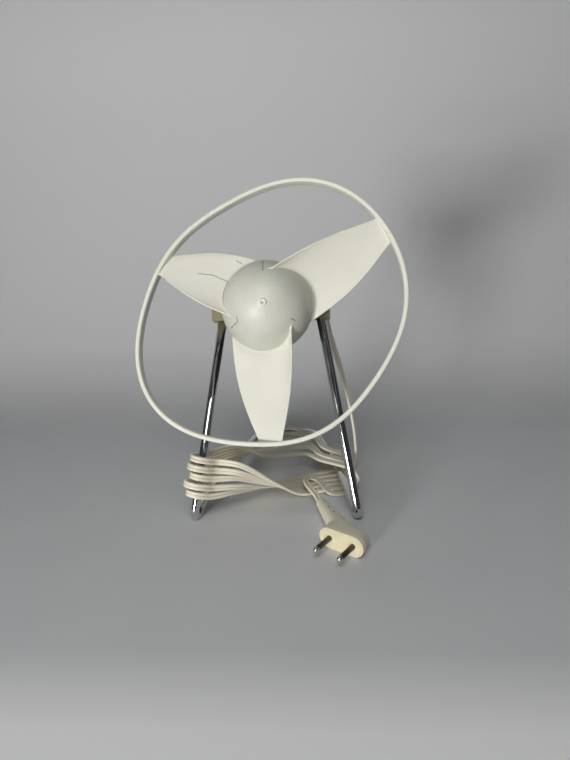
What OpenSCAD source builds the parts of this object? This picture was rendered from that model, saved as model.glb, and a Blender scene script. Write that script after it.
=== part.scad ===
// Desk fan with a soft one-piece rotor inside its own turning ring, a small mains motor in a
// round case, and a stand bent from one rod. The lead is wound round the stand.
// The front is -Y, +X is the viewer's right, and the origin is on the table under the stand.

/* [Stand] */
// Diameter of the stand's rod
rod_d = 7; // [6:0.5:8]
// Distance between the corners of the two front bends
foot_span = 129; // [124:1:140]
// From the origin forward to the corners of the front bends
base_front = 94; // [88:1:100]
// From the origin back to the middle of the rear bar
base_rear = 79; // [72:1:86]
// Distance between the corners of the rear bar
rear_span = 59; // [58:1:70]
// Height of the hump in each rail, over its ends
rail_rise = 8; // [7:0.5:10]
// Centre-line radius of the front bends
foot_bend_r = 9; // [8:0.5:12]
// Centre-line radius of the rear bends
rear_bend_r = 19; // [14:1:20]

/* [Tilt pivot] */
// Height of the tilt axis
pivot_h = 156; // [150:1:162]
// From the origin forward to the tilt axis
pivot_front = 40; // [36:1:46]
// Diameter of the pivot shoulders that turn in the rod and the blocks
pivot_d = 5; // [4.4:0.1:5.4]
// Width of a pivot block, along the tilt axis
block_w = 14; // [13:0.5:15]
// Radius of a block's round top
block_r = 7; // [6.5:0.25:8]
// Upward tilt of the head
head_tilt = 15; // [8:1:45]

/* [Motor case] */
// Outer diameter of the case
case_d = 58; // [57:0.5:62]
// Wall of the case
case_wall = 2; // [1.6:0.1:2.4]
// From the tilt axis forward to the front of the case
case_front_z = 28; // [26:0.5:28.5]
// From the tilt axis back to the rear of the case
case_rear_z = 42; // [41:0.5:46]
// Height of the pivot bosses over the case
boss_rise = 1.5; // [1:0.1:3]

/* [Motor] */
// Shaft diameter
shaft_d = 5; // [4:0.25:6]
// Rotor diameter
armature_d = 24.4; // [22:0.2:25]
// Length of the laminated stack
stack_l = 18; // [15:1:19]
// Air gap between rotor and poles
air_gap = 0.4; // [0.3:0.05:0.6]
// Outer diameter of the bearings
bearing_d = 12; // [10:0.5:13]

/* [Rotor] */
// Radius of the domed hub
hub_r = 33; // [31:0.5:34]
// Wall of the hub
hub_wall = 2; // [1.6:0.1:2.6]
// From the tilt axis forward to the middle of the ring
ring_z = 42; // [40:0.5:46]
// Mean radius of the ring
ring_r = 94; // [88:0.5:96]
// Radial thickness of the ring
ring_t = 3.4; // [2.8:0.1:4]
// Depth of the ring along the axis
ring_w = 8; // [7:0.25:10]
// Thickness of a blade
blade_t = 1.8; // [1.4:0.1:2.4]
// Width of a blade's tip
tip_w = 16; // [12:0.5:20]
// Half of the angle that a blade's root covers on the hub
root_half = 52; // [46:1:56]
// Height of a blade's leading corner over the hub's rim
root_rise = 23; // [18:0.5:25]
// Swell of a blade's edges between root and tip
blade_swell = 4.5; // [0:0.25:5]

/* [Set of the old rotor, nought when new] */
// Lean of the ring, towards the upper left
ring_lean = 8; // [0:0.5:9]
// Half the difference between the ring's long and short radius
ring_oval = 8.1; // [0:0.1:8.5]
// How far the blades pull the ring in
ring_pull = 1; // [0:0.1:2]
// How far the ring has sagged
ring_slip = 7.5; // [0:0.1:8]
// How far the left blade's tip has crept round
tip_creep = 5; // [0:0.5:9]

/* [Lead and plug] */
// Width of the flat twin lead
lead_w = 5.2; // [4.4:0.1:5.4]
// Thickness of the lead
lead_t = 2.6; // [2:0.1:2.8]
// Turns in the hank
hank_turns = 5; // [4:1:5]
// Distance between the plug's pins
pin_pitch = 19; // [18.6:0.1:19.2]
// Diameter of a pin
pin_d = 4; // [3.8:0.1:4.8]
// Length of a pin
pin_l = 19; // [17:0.5:20]
// Length of the plug's face
plug_face_l = 36; // [33:0.5:38]
// Thickness of the plug
plug_t = 16; // [14:0.5:17]

/* [Hidden] */
$fn = 96;

// Clearances: running fits, fixed seats, and gaps between parts that pass each other
run_gap = 0.05;
seat_gap = 0.02;
pass_gap = 0.3;

rod_r = rod_d / 2;
pivot_r = pivot_d / 2;
shaft_r = shaft_d / 2;
case_r = case_d / 2;
case_in_r = case_r - case_wall;

CREAM = "#dcdcce";
CHROME = "#c9ccd0";
BLACK = "#26262a";
STEEL = "#9a9ca0";
BRONZE = "#a97f4a";
COPPER = "#b5652f";
FLEX = "#e3dec8";
FIBRE = "#7a4a32";

// Vectors and frames

function unit(v) = v / norm(v);
function mix(a, b, u) = a * (1 - u) + b * u;
function turned(p, axis, a) =
    p * cos(a) + cross(axis, p) * sin(a) + axis * (axis * p) * (1 - cos(a));

// Turns z to a direction
module along(v) {
    rotate([0, acos(v.z / norm(v)), atan2(v.y, v.x)]) children();
}

// A round bar from one point to another
module bar(from, to, r) {
    translate(from) along(to - from) cylinder(r = r, h = norm(to - from));
}

// Round tube bent through corner points, with a centre-line radius at each inner corner
function heading(pts, i) = unit(pts[i + 1] - pts[i]);
function turn_at(pts, i) = acos(heading(pts, i - 1) * heading(pts, i));
function cut_back(pts, radii, i) =
    i == 0 || i == len(pts) - 1 ? 0 : radii[i - 1] * tan(turn_at(pts, i) / 2);
function bend_centre(pts, radii, i) =
    pts[i] + unit(heading(pts, i) - heading(pts, i - 1)) * radii[i - 1] / cos(turn_at(pts, i) / 2);

module bend(pts, radii, i, r) {
    o = bend_centre(pts, radii, i);
    along = heading(pts, i - 1);
    out = unit(pts[i] - along * cut_back(pts, radii, i) - o);
    up = cross(out, along);
    multmatrix([
        [out.x, along.x, up.x, o.x],
        [out.y, along.y, up.y, o.y],
        [out.z, along.z, up.z, o.z],
        [0, 0, 0, 1]
    ])
        rotate_extrude(angle = turn_at(pts, i)) translate([radii[i - 1], 0]) circle(r = r);
}

// Balls just over the bar's size, turned to lie along it, close the joints between its straight
// and its bent lengths
module bent_bar(pts, radii, r) {
    ball_over = 0.05;
    union() {
        for (i = [0 : len(pts) - 2]) {
            d = heading(pts, i);
            start = pts[i] + d * cut_back(pts, radii, i);
            end = pts[i + 1] - d * cut_back(pts, radii, i + 1);
            bar(start, end, r);
            if (i > 0) translate(start) along(d) sphere(r = r + ball_over);
            if (i < len(pts) - 2) translate(end) along(d) sphere(r = r + ball_over);
        }
    }
    for (i = [1 : len(pts) - 2]) bend(pts, radii, i, r);
}

// Solid between two grids of points that share their edges' order
module sheet_solid(front, back) {
    nu = len(front);
    nv = len(front[0]);
    at = function(side, i, j) side * nu * nv + i * nv + j;
    quad = function(a, b, c, d) [[a, b, c], [a, c, d]];
    faces = [
        for (i = [0 : nu - 2]) for (j = [0 : nv - 2]) each quad(
            at(0, i, j), at(0, i, j + 1), at(0, i + 1, j + 1), at(0, i + 1, j)),
        for (i = [0 : nu - 2]) for (j = [0 : nv - 2]) each quad(
            at(1, i, j), at(1, i + 1, j), at(1, i + 1, j + 1), at(1, i, j + 1)),
        for (i = [0 : nu - 2]) each quad(at(0, i, 0), at(0, i + 1, 0), at(1, i + 1, 0), at(1, i, 0)),
        for (i = [0 : nu - 2]) each quad(
            at(0, i, nv - 1), at(1, i, nv - 1), at(1, i + 1, nv - 1), at(0, i + 1, nv - 1)),
        for (j = [0 : nv - 2]) each quad(at(0, 0, j), at(1, 0, j), at(1, 0, j + 1), at(0, 0, j + 1)),
        for (j = [0 : nv - 2]) each quad(
            at(0, nu - 1, j), at(0, nu - 1, j + 1), at(1, nu - 1, j + 1), at(1, nu - 1, j))
    ];
    polyhedron(points = [for (g = [front, back]) for (row = g) each row], faces = faces);
}

// Tube through rings of points, closed round at the ends or joined end to end
module ring_solid(rings, closed = false) {
    n = len(rings);
    k = len(rings[0]);
    at = function(i, j) (i % n) * k + j % k;
    sides = [
        for (i = [0 : n - (closed ? 1 : 2)]) for (j = [0 : k - 1]) each [
            [at(i, j), at(i, j + 1), at(i + 1, j + 1)],
            [at(i, j), at(i + 1, j + 1), at(i + 1, j)]
        ]
    ];
    caps = closed ? [] : [
        for (j = [1 : k - 2]) each [
            [at(0, 0), at(0, j + 1), at(0, j)],
            [at(n - 1, 0), at(n - 1, j), at(n - 1, j + 1)]
        ]
    ];
    polyhedron(points = [for (ring = rings) each ring], faces = concat(sides, caps));
}

// Stand

pivot_y = -pivot_front;
washer_t = 0.8;
boss_x = case_r + boss_rise;
block_in_x = boss_x + washer_t + pass_gap;
block_out_x = block_in_x + block_w;
// The rod stands nearer to a block's inner face than to its outer one
rod_set = 5.5;
leg_x = block_in_x + rod_set;
leg_top = [leg_x, pivot_y, pivot_h];
rear_corner = [rear_span / 2, base_rear, rod_r];
rail_peak_y = -35;
rail_u = (rail_peak_y + base_front) / (base_front + base_rear);
rail_peak = [mix(foot_span, rear_span, rail_u) / 2, rail_peak_y, rod_r + rail_rise];
rail_bend_r = 200;

// The front corner is set so that the bend's lowest point lies on the table
function foot_corner(z) = [foot_span / 2, -base_front, z];
function foot_low(z) =
    let (pts = [leg_top, foot_corner(z), rail_peak],
         n = unit(cross(heading(pts, 0), heading(pts, 1))))
    bend_centre(pts, [foot_bend_r], 1).z - (foot_bend_r + rod_r) * sqrt(1 - n.z * n.z)
        - rod_r * (1 - sqrt(1 - n.z * n.z));
function foot_z(z = 0, i = 6) = i == 0 ? z : foot_z(z - foot_low(z), i - 1);

foot = foot_corner(foot_z());
leg_up = unit(leg_top - foot);
// The rod runs on past the tilt axis, to the top of its socket
rod_past = 4.5;
function flip(p) = [-p.x, p.y, p.z];
right_side = [leg_top + leg_up * rod_past, foot, rail_peak, rear_corner];
rod_corners = concat(right_side, [for (i = [3 : -1 : 0]) flip(right_side[i])]);
rod_bends = [foot_bend_r, rail_bend_r, rear_bend_r, rear_bend_r, rail_bend_r, foot_bend_r];

module along_tilt(x0, x1, r) {
    translate([x0, pivot_y, pivot_h]) rotate([0, 90, 0]) cylinder(r = r, h = x1 - x0);
}

module stand_rod() {
    color(CHROME) difference() {
        bent_bar(rod_corners, rod_bends, rod_r);
        along_tilt(-leg_x - rod_d, -leg_x + rod_d, pivot_r + run_gap);
        along_tilt(leg_x - rod_d, leg_x + rod_d, pivot_r + run_gap);
    }
}

// Pivot blocks: round-topped lugs on the rod's ends, each with a round recess for the pivot's head

block_foot = 8;
recess_depth = 3.2;
recess_r = 4.7;
leg_lean = atan2(leg_up.y, leg_up.z);
// The lead leaves the right block at the back, on a boss that leans down and out
gland_dir = unit([0.22, 0.66, -0.72]);
gland_root = leg_top + [0.2, 3, -2];
gland_boss_l = 9;
gland_boss_r = 5.5;
spigot_r = 3;
spigot_l = 4;
gland_seat = gland_root + gland_dir * gland_boss_l;

module block_body(side) {
    x = side < 0 ? -block_out_x : block_in_x;
    translate([x, pivot_y, pivot_h]) rotate([-leg_lean, 0, 0]) rotate([90, 0, 90])
        linear_extrude(block_w) union() {
            circle(r = block_r);
            translate([-block_r, -block_foot]) square([2 * block_r, block_foot]);
        }
}

module block_holes(side) {
    up = side < 0 ? flip(leg_up) : leg_up;
    axle = [side * leg_x, pivot_y, pivot_h];
    recess_x = block_out_x - recess_depth;
    bar(axle - up * 3 * block_foot, axle + up * (rod_past + seat_gap), rod_r + seat_gap);
    along_tilt(side * leg_x - block_w, side * leg_x + block_w, pivot_r + run_gap);
    translate([side * recess_x, pivot_y, pivot_h]) rotate([0, side * 90, 0])
        cylinder(r = recess_r, h = block_w);
}

module pivot_block_left() {
    color(CREAM) difference() {
        block_body(-1);
        block_holes(-1);
    }
}

module pivot_block_right() {
    color(CREAM) difference() {
        union() {
            block_body(1);
            bar(gland_root, gland_seat, gland_boss_r);
        }
        block_holes(1);
        bar(gland_seat - gland_dir * (spigot_l + seat_gap), gland_seat + gland_dir, spigot_r + seat_gap);
    }
}

// Head: +z of its own frame runs forward along the shaft, from the tilt axis

module at_head() {
    translate([0, pivot_y, pivot_h]) rotate([90 - head_tilt, 0, 0]) children();
}

module tube(r_out, r_in, z0, z1) {
    translate([0, 0, z0]) difference() {
        cylinder(r = r_out, h = z1 - z0);
        translate([0, 0, -1]) cylinder(r = r_in, h = z1 - z0 + 2);
    }
}

seam_z = -8;
case_round = 8;
end_wall = 2.5;
bearing_r = bearing_d / 2;
bearing_l = 11;
bearing_wall = 2.5;
front_bearing_z = case_front_z - end_wall - bearing_l;
rear_bearing_l = 7;
stack_front = -9;
stack_back = stack_front - stack_l;
stack_seat = 2.5;
bolt_r = 1.5;
// The two bolts stand across from each other, between the yoke and the coils
bolts_at = [[-12.5, 12.5], [12.5, -12.5]];
pillar_r = 3.4;
pillar_l = 23;
bolt_grip = 10;
boss_r = 6.5;
wall_hole_r = shaft_r + 0.8;
vents = 10;
vent_w = 3;
vent_in = bearing_r + bearing_wall + 2;
vent_out = 15;
cut_over = 1;

// Half section of a cup with a rounded end, open at z = 0 and closed at z = depth
module cup_outline(r, depth, round) {
    square([r - round, depth]);
    square([r, depth - round]);
    translate([r - round, depth - round]) circle(r = round);
}

module cup(r, depth, wall, floor_t, round) {
    rotate_extrude() intersection() {
        square([r, depth]);
        difference() {
            cup_outline(r, depth, round);
            translate([0, -floor_t]) cup_outline(r - wall, depth, round - wall);
        }
    }
}

// Slots round the shaft in an end wall, with any that a part covers left out
module vent_ring(z, left_out = []) {
    for (i = [0 : vents - 1]) if (len(search(i, left_out)) == 0) rotate([0, 0, (i + 0.5) * 360 / vents])
        translate([vent_in, -vent_w / 2, z - cut_over])
            cube([vent_out - vent_in, vent_w, end_wall + 2 * cut_over]);
}

module case_front() {
    wall_z = case_front_z - end_wall;
    color(BLACK) at_head() difference() {
        union() {
            translate([0, 0, seam_z])
                cup(case_r, case_front_z - seam_z, case_wall, end_wall, case_round);
            translate([0, 0, front_bearing_z])
                cylinder(r = bearing_r + bearing_wall, h = bearing_l + end_wall / 2);
            for (p = bolts_at) translate([p.x, p.y, wall_z - pillar_l])
                cylinder(r = pillar_r, h = pillar_l + end_wall / 2);
            for (side = [-1, 1]) rotate([0, side * 90, 0]) translate([0, 0, case_in_r + case_wall / 2])
                cylinder(r = boss_r, h = boss_x - case_in_r - case_wall / 2);
        }
        translate([0, 0, front_bearing_z - cut_over])
            cylinder(r = bearing_r + seat_gap, h = bearing_l + cut_over);
        cylinder(r = wall_hole_r, h = 2 * case_front_z);
        rotate([0, 90, 0]) translate([0, 0, -case_d]) cylinder(r = pivot_r + seat_gap, h = 2 * case_d);
        for (p = bolts_at) translate([p.x, p.y, wall_z - pillar_l - cut_over])
            cylinder(r = bolt_r + seat_gap, h = bolt_grip + 2 * cut_over);
        vent_ring(wall_z);
    }
}

switch_y = 14;
switch_size = [16, 8, 5.5];
switch_travel = 5;
slider_size = [5, 4, 2.5];
window = [slider_size.x + switch_travel + 2 * pass_gap, slider_size.y + 2 * pass_gap];

module case_rear() {
    color(BLACK) at_head() difference() {
        union() {
            translate([0, 0, seam_z]) mirror([0, 0, 1])
                cup(case_r, case_rear_z + seam_z, case_wall, end_wall, case_round);
            tube(case_in_r + case_wall / 2, case_in_r - stack_seat, -case_rear_z + case_round, stack_back);
            translate([0, 0, -case_rear_z + end_wall / 2])
                cylinder(r = bearing_r + bearing_wall, h = rear_bearing_l + end_wall / 2);
        }
        translate([0, 0, -case_rear_z + end_wall])
            cylinder(r = bearing_r + seat_gap, h = rear_bearing_l + cut_over);
        for (p = bolts_at) translate([p.x, p.y, -case_rear_z - cut_over])
            cylinder(r = bolt_r + seat_gap, h = end_wall + 2 * cut_over);
        vent_ring(-case_rear_z, [2]);
        translate([-window.x / 2, switch_y - window.y / 2, -case_rear_z - cut_over])
            cube([window.x, window.y, end_wall + 2 * cut_over]);
    }
}

bolt_head_r = 2.8;
bolt_head_t = 2;

// Two long bolts run from the rear face, past the stack, into the pillars of the front half
module case_screws() {
    end_z = case_front_z - end_wall - pillar_l + bolt_grip;
    color(STEEL) at_head() for (p = bolts_at) translate([p.x, p.y, -case_rear_z]) {
        translate([0, 0, -bolt_head_t]) cylinder(r = bolt_head_r, h = bolt_head_t);
        cylinder(r = bolt_r, h = end_z + case_rear_z);
    }
}

// Pivots: the shoulders are fixed in the case and turn in the rod's ends

pivot_tip = 3;
pivot_head_r = 4.2;
pivot_head_t = 2;
spring_t = 0.9;
spring_r = 4.2;
head_x = block_out_x - recess_depth + pass_gap + spring_t;

module pivot_shoulder() {
    translate([0, 0, case_in_r - pivot_tip]) cylinder(r = pivot_r, h = head_x - case_in_r + pivot_tip);
    translate([0, 0, head_x]) cylinder(r = pivot_head_r, h = pivot_head_t);
}

slot_w = 1.2;
slot_depth = 1;

module pivot_screw_left() {
    color(STEEL) at_head() rotate([0, -90, 0]) difference() {
        pivot_shoulder();
        translate([-slot_w / 2, -2 * pivot_head_r, head_x + pivot_head_t - slot_depth])
            cube([slot_w, 4 * pivot_head_r, slot_depth + cut_over]);
    }
}

// The right pivot is hollow, and takes the two wires from the lead into the case
sleeve_wall = 1;

module pivot_sleeve_right() {
    color(STEEL) at_head() rotate([0, 90, 0]) difference() {
        pivot_shoulder();
        cylinder(r = pivot_r - sleeve_wall, h = 2 * head_x);
    }
}

module washer_pair(x0, t, r) {
    at_head() for (side = [-1, 1]) rotate([0, side * 90, 0]) tube(r, pivot_r + seat_gap, x0, x0 + t);
}

module friction_washers() {
    color(FIBRE) washer_pair(boss_x, washer_t, boss_r);
}

module spring_washers() {
    color(STEEL) washer_pair(head_x - spring_t, spring_t, spring_r);
}

// Each bearing sits a little inside the mouth of its boss
bearing_in = 0.5;

module bearing_front() {
    color(BRONZE) at_head()
        tube(bearing_r, shaft_r + run_gap, front_bearing_z + bearing_in, front_bearing_z + bearing_l);
}

rear_bearing_z = -case_rear_z + end_wall;

module bearing_rear() {
    color(BRONZE) at_head()
        tube(bearing_r, shaft_r + run_gap, rear_bearing_z, rear_bearing_z + rear_bearing_l - bearing_in);
}

// Stator: a laminated ring with two inward poles, each with a coil round it

yoke_w = 5;
pole_w = 12;
pole_r = armature_d / 2 + air_gap;
yoke_in_r = case_in_r - seat_gap - yoke_w;
coil_gap = 0.2;
coil_w = 4;
coil_far = sqrt(pow(yoke_in_r - coil_gap, 2) - pow(pole_w / 2 + coil_gap + coil_w, 2));
coil_back = 0.8;
coil_near = pole_r + coil_back;

module stator_core() {
    color(STEEL) at_head() translate([0, 0, stack_back]) linear_extrude(stack_l) difference() {
        union() {
            difference() {
                circle(r = case_in_r - seat_gap);
                circle(r = yoke_in_r);
            }
            translate([-yoke_in_r - 1, -pole_w / 2]) square([2 * yoke_in_r + 2, pole_w]);
        }
        circle(r = pole_r);
    }
}

module frame_outline(w, h, r) {
    square([w - 2 * r, h], center = true);
    square([w, h - 2 * r], center = true);
    for (x = [-1, 1]) for (y = [-1, 1]) translate([x * (w / 2 - r), y * (h / 2 - r)]) circle(r = r);
}

module field_coil(side) {
    inner = [stack_l + 2 * coil_gap, pole_w + 2 * coil_gap];
    color(COPPER) at_head() translate([0, 0, stack_front - stack_l / 2]) rotate([0, side * 90, 0])
        translate([0, 0, coil_near]) linear_extrude(coil_far - coil_near) difference() {
            frame_outline(inner.x + 2 * coil_w, inner.y + 2 * coil_w, coil_w);
            square(inner, center = true);
        }
}

module field_coil_left() {
    field_coil(-1);
}

module field_coil_right() {
    field_coil(1);
}

module switch_body() {
    color(BLACK) at_head()
        translate([-switch_size.x / 2, switch_y - switch_size.y / 2, -case_rear_z + end_wall])
            cube(switch_size);
}

// The slider stands at the left end of its window, which is off, and has ribs for the thumb
ribs = 3;
rib_w = 0.8;
rib_h = 0.6;

module switch_slider() {
    color(CREAM) at_head() translate([-switch_travel / 2, switch_y, -case_rear_z]) {
        translate([-slider_size.x / 2, -slider_size.y / 2, -slider_size.z])
            cube([slider_size.x, slider_size.y, slider_size.z + end_wall - pass_gap]);
        for (i = [0 : ribs - 1])
            translate([slider_size.x * ((i + 0.5) / ribs - 0.5) - rib_w / 2, -slider_size.y / 2,
                       -slider_size.z - rib_h])
                cube([rib_w, slider_size.y, 2 * rib_h]);
    }
}

// Rotor: hub, blades and ring are one soft moulding

rim_gap = 2;
rim_z = case_front_z + rim_gap;
hub_skirt = 2;
dome_z = rim_z + hub_skirt;
bush_r = 4.5;
bush_l = 17;
bush_in = 1.5;
bush_z = rim_z + bush_in;
hub_boss_r = 7.5;
nose_r = 2;
nose_rise = 0.5;
nose_l = 3;
nose_hole_r = 0.7;
blades = 3;
root_low = 1;
tip_flare = 2;
flare_from = 0.9;
blade_at = 30;
lean_towards = 121;
long_axis_at = 42.7;
pull_at = 14;
slip_towards = -74;
ring_steps = 72;
lean_axis = [-sin(lean_towards), cos(lean_towards), 0];
ring_centre = [ring_slip * cos(slip_towards), ring_slip * sin(slip_towards), ring_z];

// A point of the ring, at an angle round it and offset outward and forward
function ring_at(a, out = 0, fore = 0) =
    let (r = ring_r + out + ring_oval * cos(2 * (a - long_axis_at)) - ring_pull * cos(3 * (a - pull_at)))
    ring_centre + turned([r * cos(a), r * sin(a), fore], lean_axis, ring_lean);

module guard_ring() {
    soft = 1;
    t = ring_t / 2;
    w = ring_w / 2;
    outline = [
        [t - soft, -w], [t, soft - w], [t, w - soft], [t - soft, w],
        [soft - t, w], [-t, w - soft], [-t, soft - w], [soft - t, -w]
    ];
    ring_solid([
        for (i = [0 : ring_steps - 1]) [for (p = outline) ring_at(i * 360 / ring_steps, p.x, p.y)]
    ], closed = true);
}

// The root follows the dome from a high leading corner down to the rim
function blade_root(a, v) =
    let (z = root_low + root_rise * pow(1 - v, 2),
         r = sqrt(pow(hub_r - hub_wall / 2, 2) - z * z),
         b = a + root_half * (1 - 2 * v))
    [r * cos(b), r * sin(b), dome_z + z];

// The tip lies across the ring's band, and flares where it joins it
function blade_tip(a, v, flare) =
    let (half = (tip_w / 2 + flare) / ring_r * 180 / PI)
    ring_at(a + half * (1 - 2 * v), 0, (ring_w / 2 - 1) * (1 - 2 * v));

function blade_point(a, creep, u, v) =
    let (flare = tip_flare * pow(max(0, u - flare_from) / (1 - flare_from), 2),
         swell = blade_swell * sin(180 * u) * (1 - 2 * v),
         side = [-sin(a), cos(a), 0])
    mix(blade_root(a, v), blade_tip(a + creep, v, flare), u) + side * swell;

function blade_normal(a, creep, u, v) =
    let (e = 0.01)
    unit(cross(blade_point(a, creep, u + e, v) - blade_point(a, creep, u - e, v),
               blade_point(a, creep, u, v + e) - blade_point(a, creep, u, v - e)));

module blade(a, creep) {
    us = [0, 0.08, 0.18, 0.28, 0.38, 0.48, 0.58, 0.68, 0.78, 0.86, 0.92, 0.96, 1];
    across = 8;
    face = function(side) [
        for (u = us) [
            for (j = [0 : across])
                blade_point(a, creep, u, j / across)
                    + blade_normal(a, creep, u, j / across) * side * blade_t / 2
        ]
    ];
    sheet_solid(face(1), face(-1));
}

module hub_dome() {
    difference() {
        union() {
            translate([0, 0, dome_z]) sphere(r = hub_r);
            translate([0, 0, dome_z + hub_r - nose_l]) cylinder(r = nose_r, h = nose_l + nose_rise);
        }
        translate([0, 0, dome_z]) sphere(r = hub_r - hub_wall);
        translate([0, 0, -hub_r]) cylinder(r = 2 * hub_r, h = dome_z + hub_r);
        translate([0, 0, dome_z + hub_r - hub_wall / 2]) cylinder(r = nose_hole_r, h = nose_l);
    }
    tube(hub_r, hub_r - hub_wall, rim_z, dome_z);
    difference() {
        translate([0, 0, bush_z]) cylinder(r = hub_boss_r, h = dome_z + hub_r - 0.75 * hub_wall - bush_z);
        translate([0, 0, bush_z - cut_over]) cylinder(r = bush_r + seat_gap, h = bush_l + cut_over + seat_gap);
    }
}

module impeller() {
    creep = [tip_creep / 2, tip_creep, 0];
    color(CREAM) at_head() union() {
        hub_dome();
        for (i = [0 : blades - 1]) blade(blade_at + i * 360 / blades, creep[i]);
        guard_ring();
    }
}

module hub_bush() {
    color(BRONZE) at_head() tube(bush_r, shaft_r + seat_gap, bush_z, bush_z + bush_l);
}

shaft_end_gap = 0.7;
shaft_back = rear_bearing_z + shaft_end_gap;
shaft_in_bush = bush_l - 1;

module motor_shaft() {
    color(STEEL) at_head() translate([0, 0, shaft_back])
        cylinder(r = shaft_r, h = bush_z + shaft_in_bush - shaft_back);
}

module armature() {
    color(STEEL) at_head() tube(armature_d / 2, shaft_r + seat_gap, stack_back, stack_front);
}

cage_t = 2;
cage_in = 0.6;
cage_wall = 7;

module cage_rings() {
    cage_r = armature_d / 2 - cage_in;
    color(CHROME) at_head() for (z = [stack_back - cage_t, stack_front])
        tube(cage_r, cage_r - cage_wall, z, z + cage_t);
}

thrust_t = 0.8;
thrust_w = 2.5;

module thrust_washers() {
    rear_z = rear_bearing_z + rear_bearing_l - bearing_in + pass_gap;
    front_z = front_bearing_z + bearing_in - pass_gap - thrust_t;
    color(FIBRE) at_head() for (z = [rear_z, front_z])
        tube(shaft_r + thrust_w, shaft_r + seat_gap, z, z + thrust_t);
}

// Lead: a flat twin flex from the right block to the plug, with most of it wound in a hank

lead_half = [lead_w / 2, lead_t / 2];

// Section of the flex with 6 sides, or 8 on the free stretches
function lead_outline(sides) = [
    for (j = [0 : sides - 1]) let (a = (j + 0.5) * 360 / sides, k = 1 / cos(180 / sides))
        [sides == 6 ? lead_half.x * cos(a - 30) : lead_half.x * k * cos(a),
         sides == 6 ? lead_half.y * k * sin(a - 30) : lead_half.y * k * sin(a)]
];

// Rings of the flex along a path, each laid with its width near a given direction
function lead_rings(path, across, sides) = [
    for (i = [0 : len(path) - 1])
        let (t = unit(path[min(i + 1, len(path) - 1)] - path[max(i - 1, 0)]),
             w = unit(across[i] - t * (across[i] * t)),
             n = cross(t, w))
        [for (p = lead_outline(sides)) path[i] + w * p.x + n * p.y]
];

gland_l = 22;
gland_tip_r = 3.2;
gland_flange_r = 5;
lead_exit = gland_seat + gland_dir * gland_l;

module cord_gland() {
    color(CREAM) union() {
        bar(gland_seat - gland_dir * spigot_l, gland_seat + gland_dir * 0.5, spigot_r);
        translate(gland_seat) along(gland_dir) cylinder(r1 = gland_flange_r, r2 = gland_tip_r, h = gland_l);
    }
}

// One turn of the hank, as stations round the left leg and the right rail: where a turn passes,
// and how far the next turn lies from it, which is also the way that the flex's width runs
leg_pitch = lead_w + 1.6;
rail_pitch = lead_w + 3;
rail_back = unit(rear_corner - rail_peak);
rail_step = -unit([rail_back.x, rail_back.y, 0]) * rail_pitch;
left_foot = flip(foot);
left_up = flip(leg_up);
wrap_r = rod_r / left_up.z + lead_t / 2 + 1.4;
wrap_z = 20;
wrap_lead = 9;
wrap_axis = left_foot + left_up * ((wrap_z - left_foot.z) / left_up.z);
wrap_step = left_up * leg_pitch;
function wrap(a) = wrap_axis + [wrap_r * cos(a), wrap_r * sin(a), 0];
function wrap_way(a) = [sin(a), -cos(a), 0];
wrap_in = -50;
wrap_out = 150;

hank_stations = [
    [[47.6, -10.6, 2.2], rail_step],
    [[34.5, -14.5, 1.8], [1.4, -7.6, 0.1]],
    [[11, -25, 2], [1.8, -7, 0.5]],
    [[-12, -46, 7], [2.6, -4.6, 3]],
    [[-35, -72, 15], [1.8, -0.9, 6.3]],
    [wrap(wrap_in) - wrap_way(wrap_in) * wrap_lead, wrap_step],
    [wrap(wrap_in), wrap_step],
    [wrap(-95), wrap_step],
    [wrap(-140), wrap_step],
    [wrap(175), wrap_step],
    [wrap(wrap_out), wrap_step],
    [wrap(wrap_out) + wrap_way(wrap_out) * wrap_lead, wrap_step],
    [[-45, -44, 24], [2.4, 0, 6.4]],
    [[-27, 20, 16], [4.6, -7.4, 3]],
    [[0, 84, 10.6], [0.8, -18.6, -1]],
    [[28, 61, 10], [-2.6, -13.6, -0.4]],
    [[41.3, 14, 16.5], [-4.6, -6.2, 0]],
    [[53.8, 3.5, 15.5], rail_step],
    [[58.3, -1.2, 9.8], rail_step],
    [[54.3, -6, 4.4], rail_step]
];

// Smooth closed curve through the stations, by cubic pieces whose slopes heed the stations' spacing
function station(k, i) = hank_stations[(i + len(hank_stations)) % len(hank_stations)][k];
function span(i) = sqrt(norm(station(0, i + 1) - station(0, i)));
function slope(k, i) =
    let (a = span(i - 1), b = span(i))
    (station(k, i) - station(k, i - 1)) / a + (station(k, i + 1) - station(k, i)) / b
        - (station(k, i + 1) - station(k, i - 1)) / (a + b);
function round_turn(k, s) =
    let (x = s * len(hank_stations), i = floor(x), u = x - i, v = 1 - u)
    station(k, i) * v * v * (1 + 2 * u) + station(k, i + 1) * u * u * (1 + 2 * v)
        + (slope(k, i) * v - slope(k, i + 1) * u) * u * v * span(i);
function hank_at(t) = round_turn(0, t - floor(t)) + round_turn(1, t - floor(t)) * t;

rings_per_station = 2.5;
hank_end = hank_turns + 0.4 / len(hank_stations);
hank_rings = round(hank_end * len(hank_stations) * rings_per_station);
hank_times = [for (i = [0 : hank_rings]) hank_end * i / hank_rings];
hank_path = [for (t = hank_times) hank_at(t)];
hank_across = [for (t = hank_times) -round_turn(1, t - floor(t))];
hank_out = unit(hank_path[1] - hank_path[0]);

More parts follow.
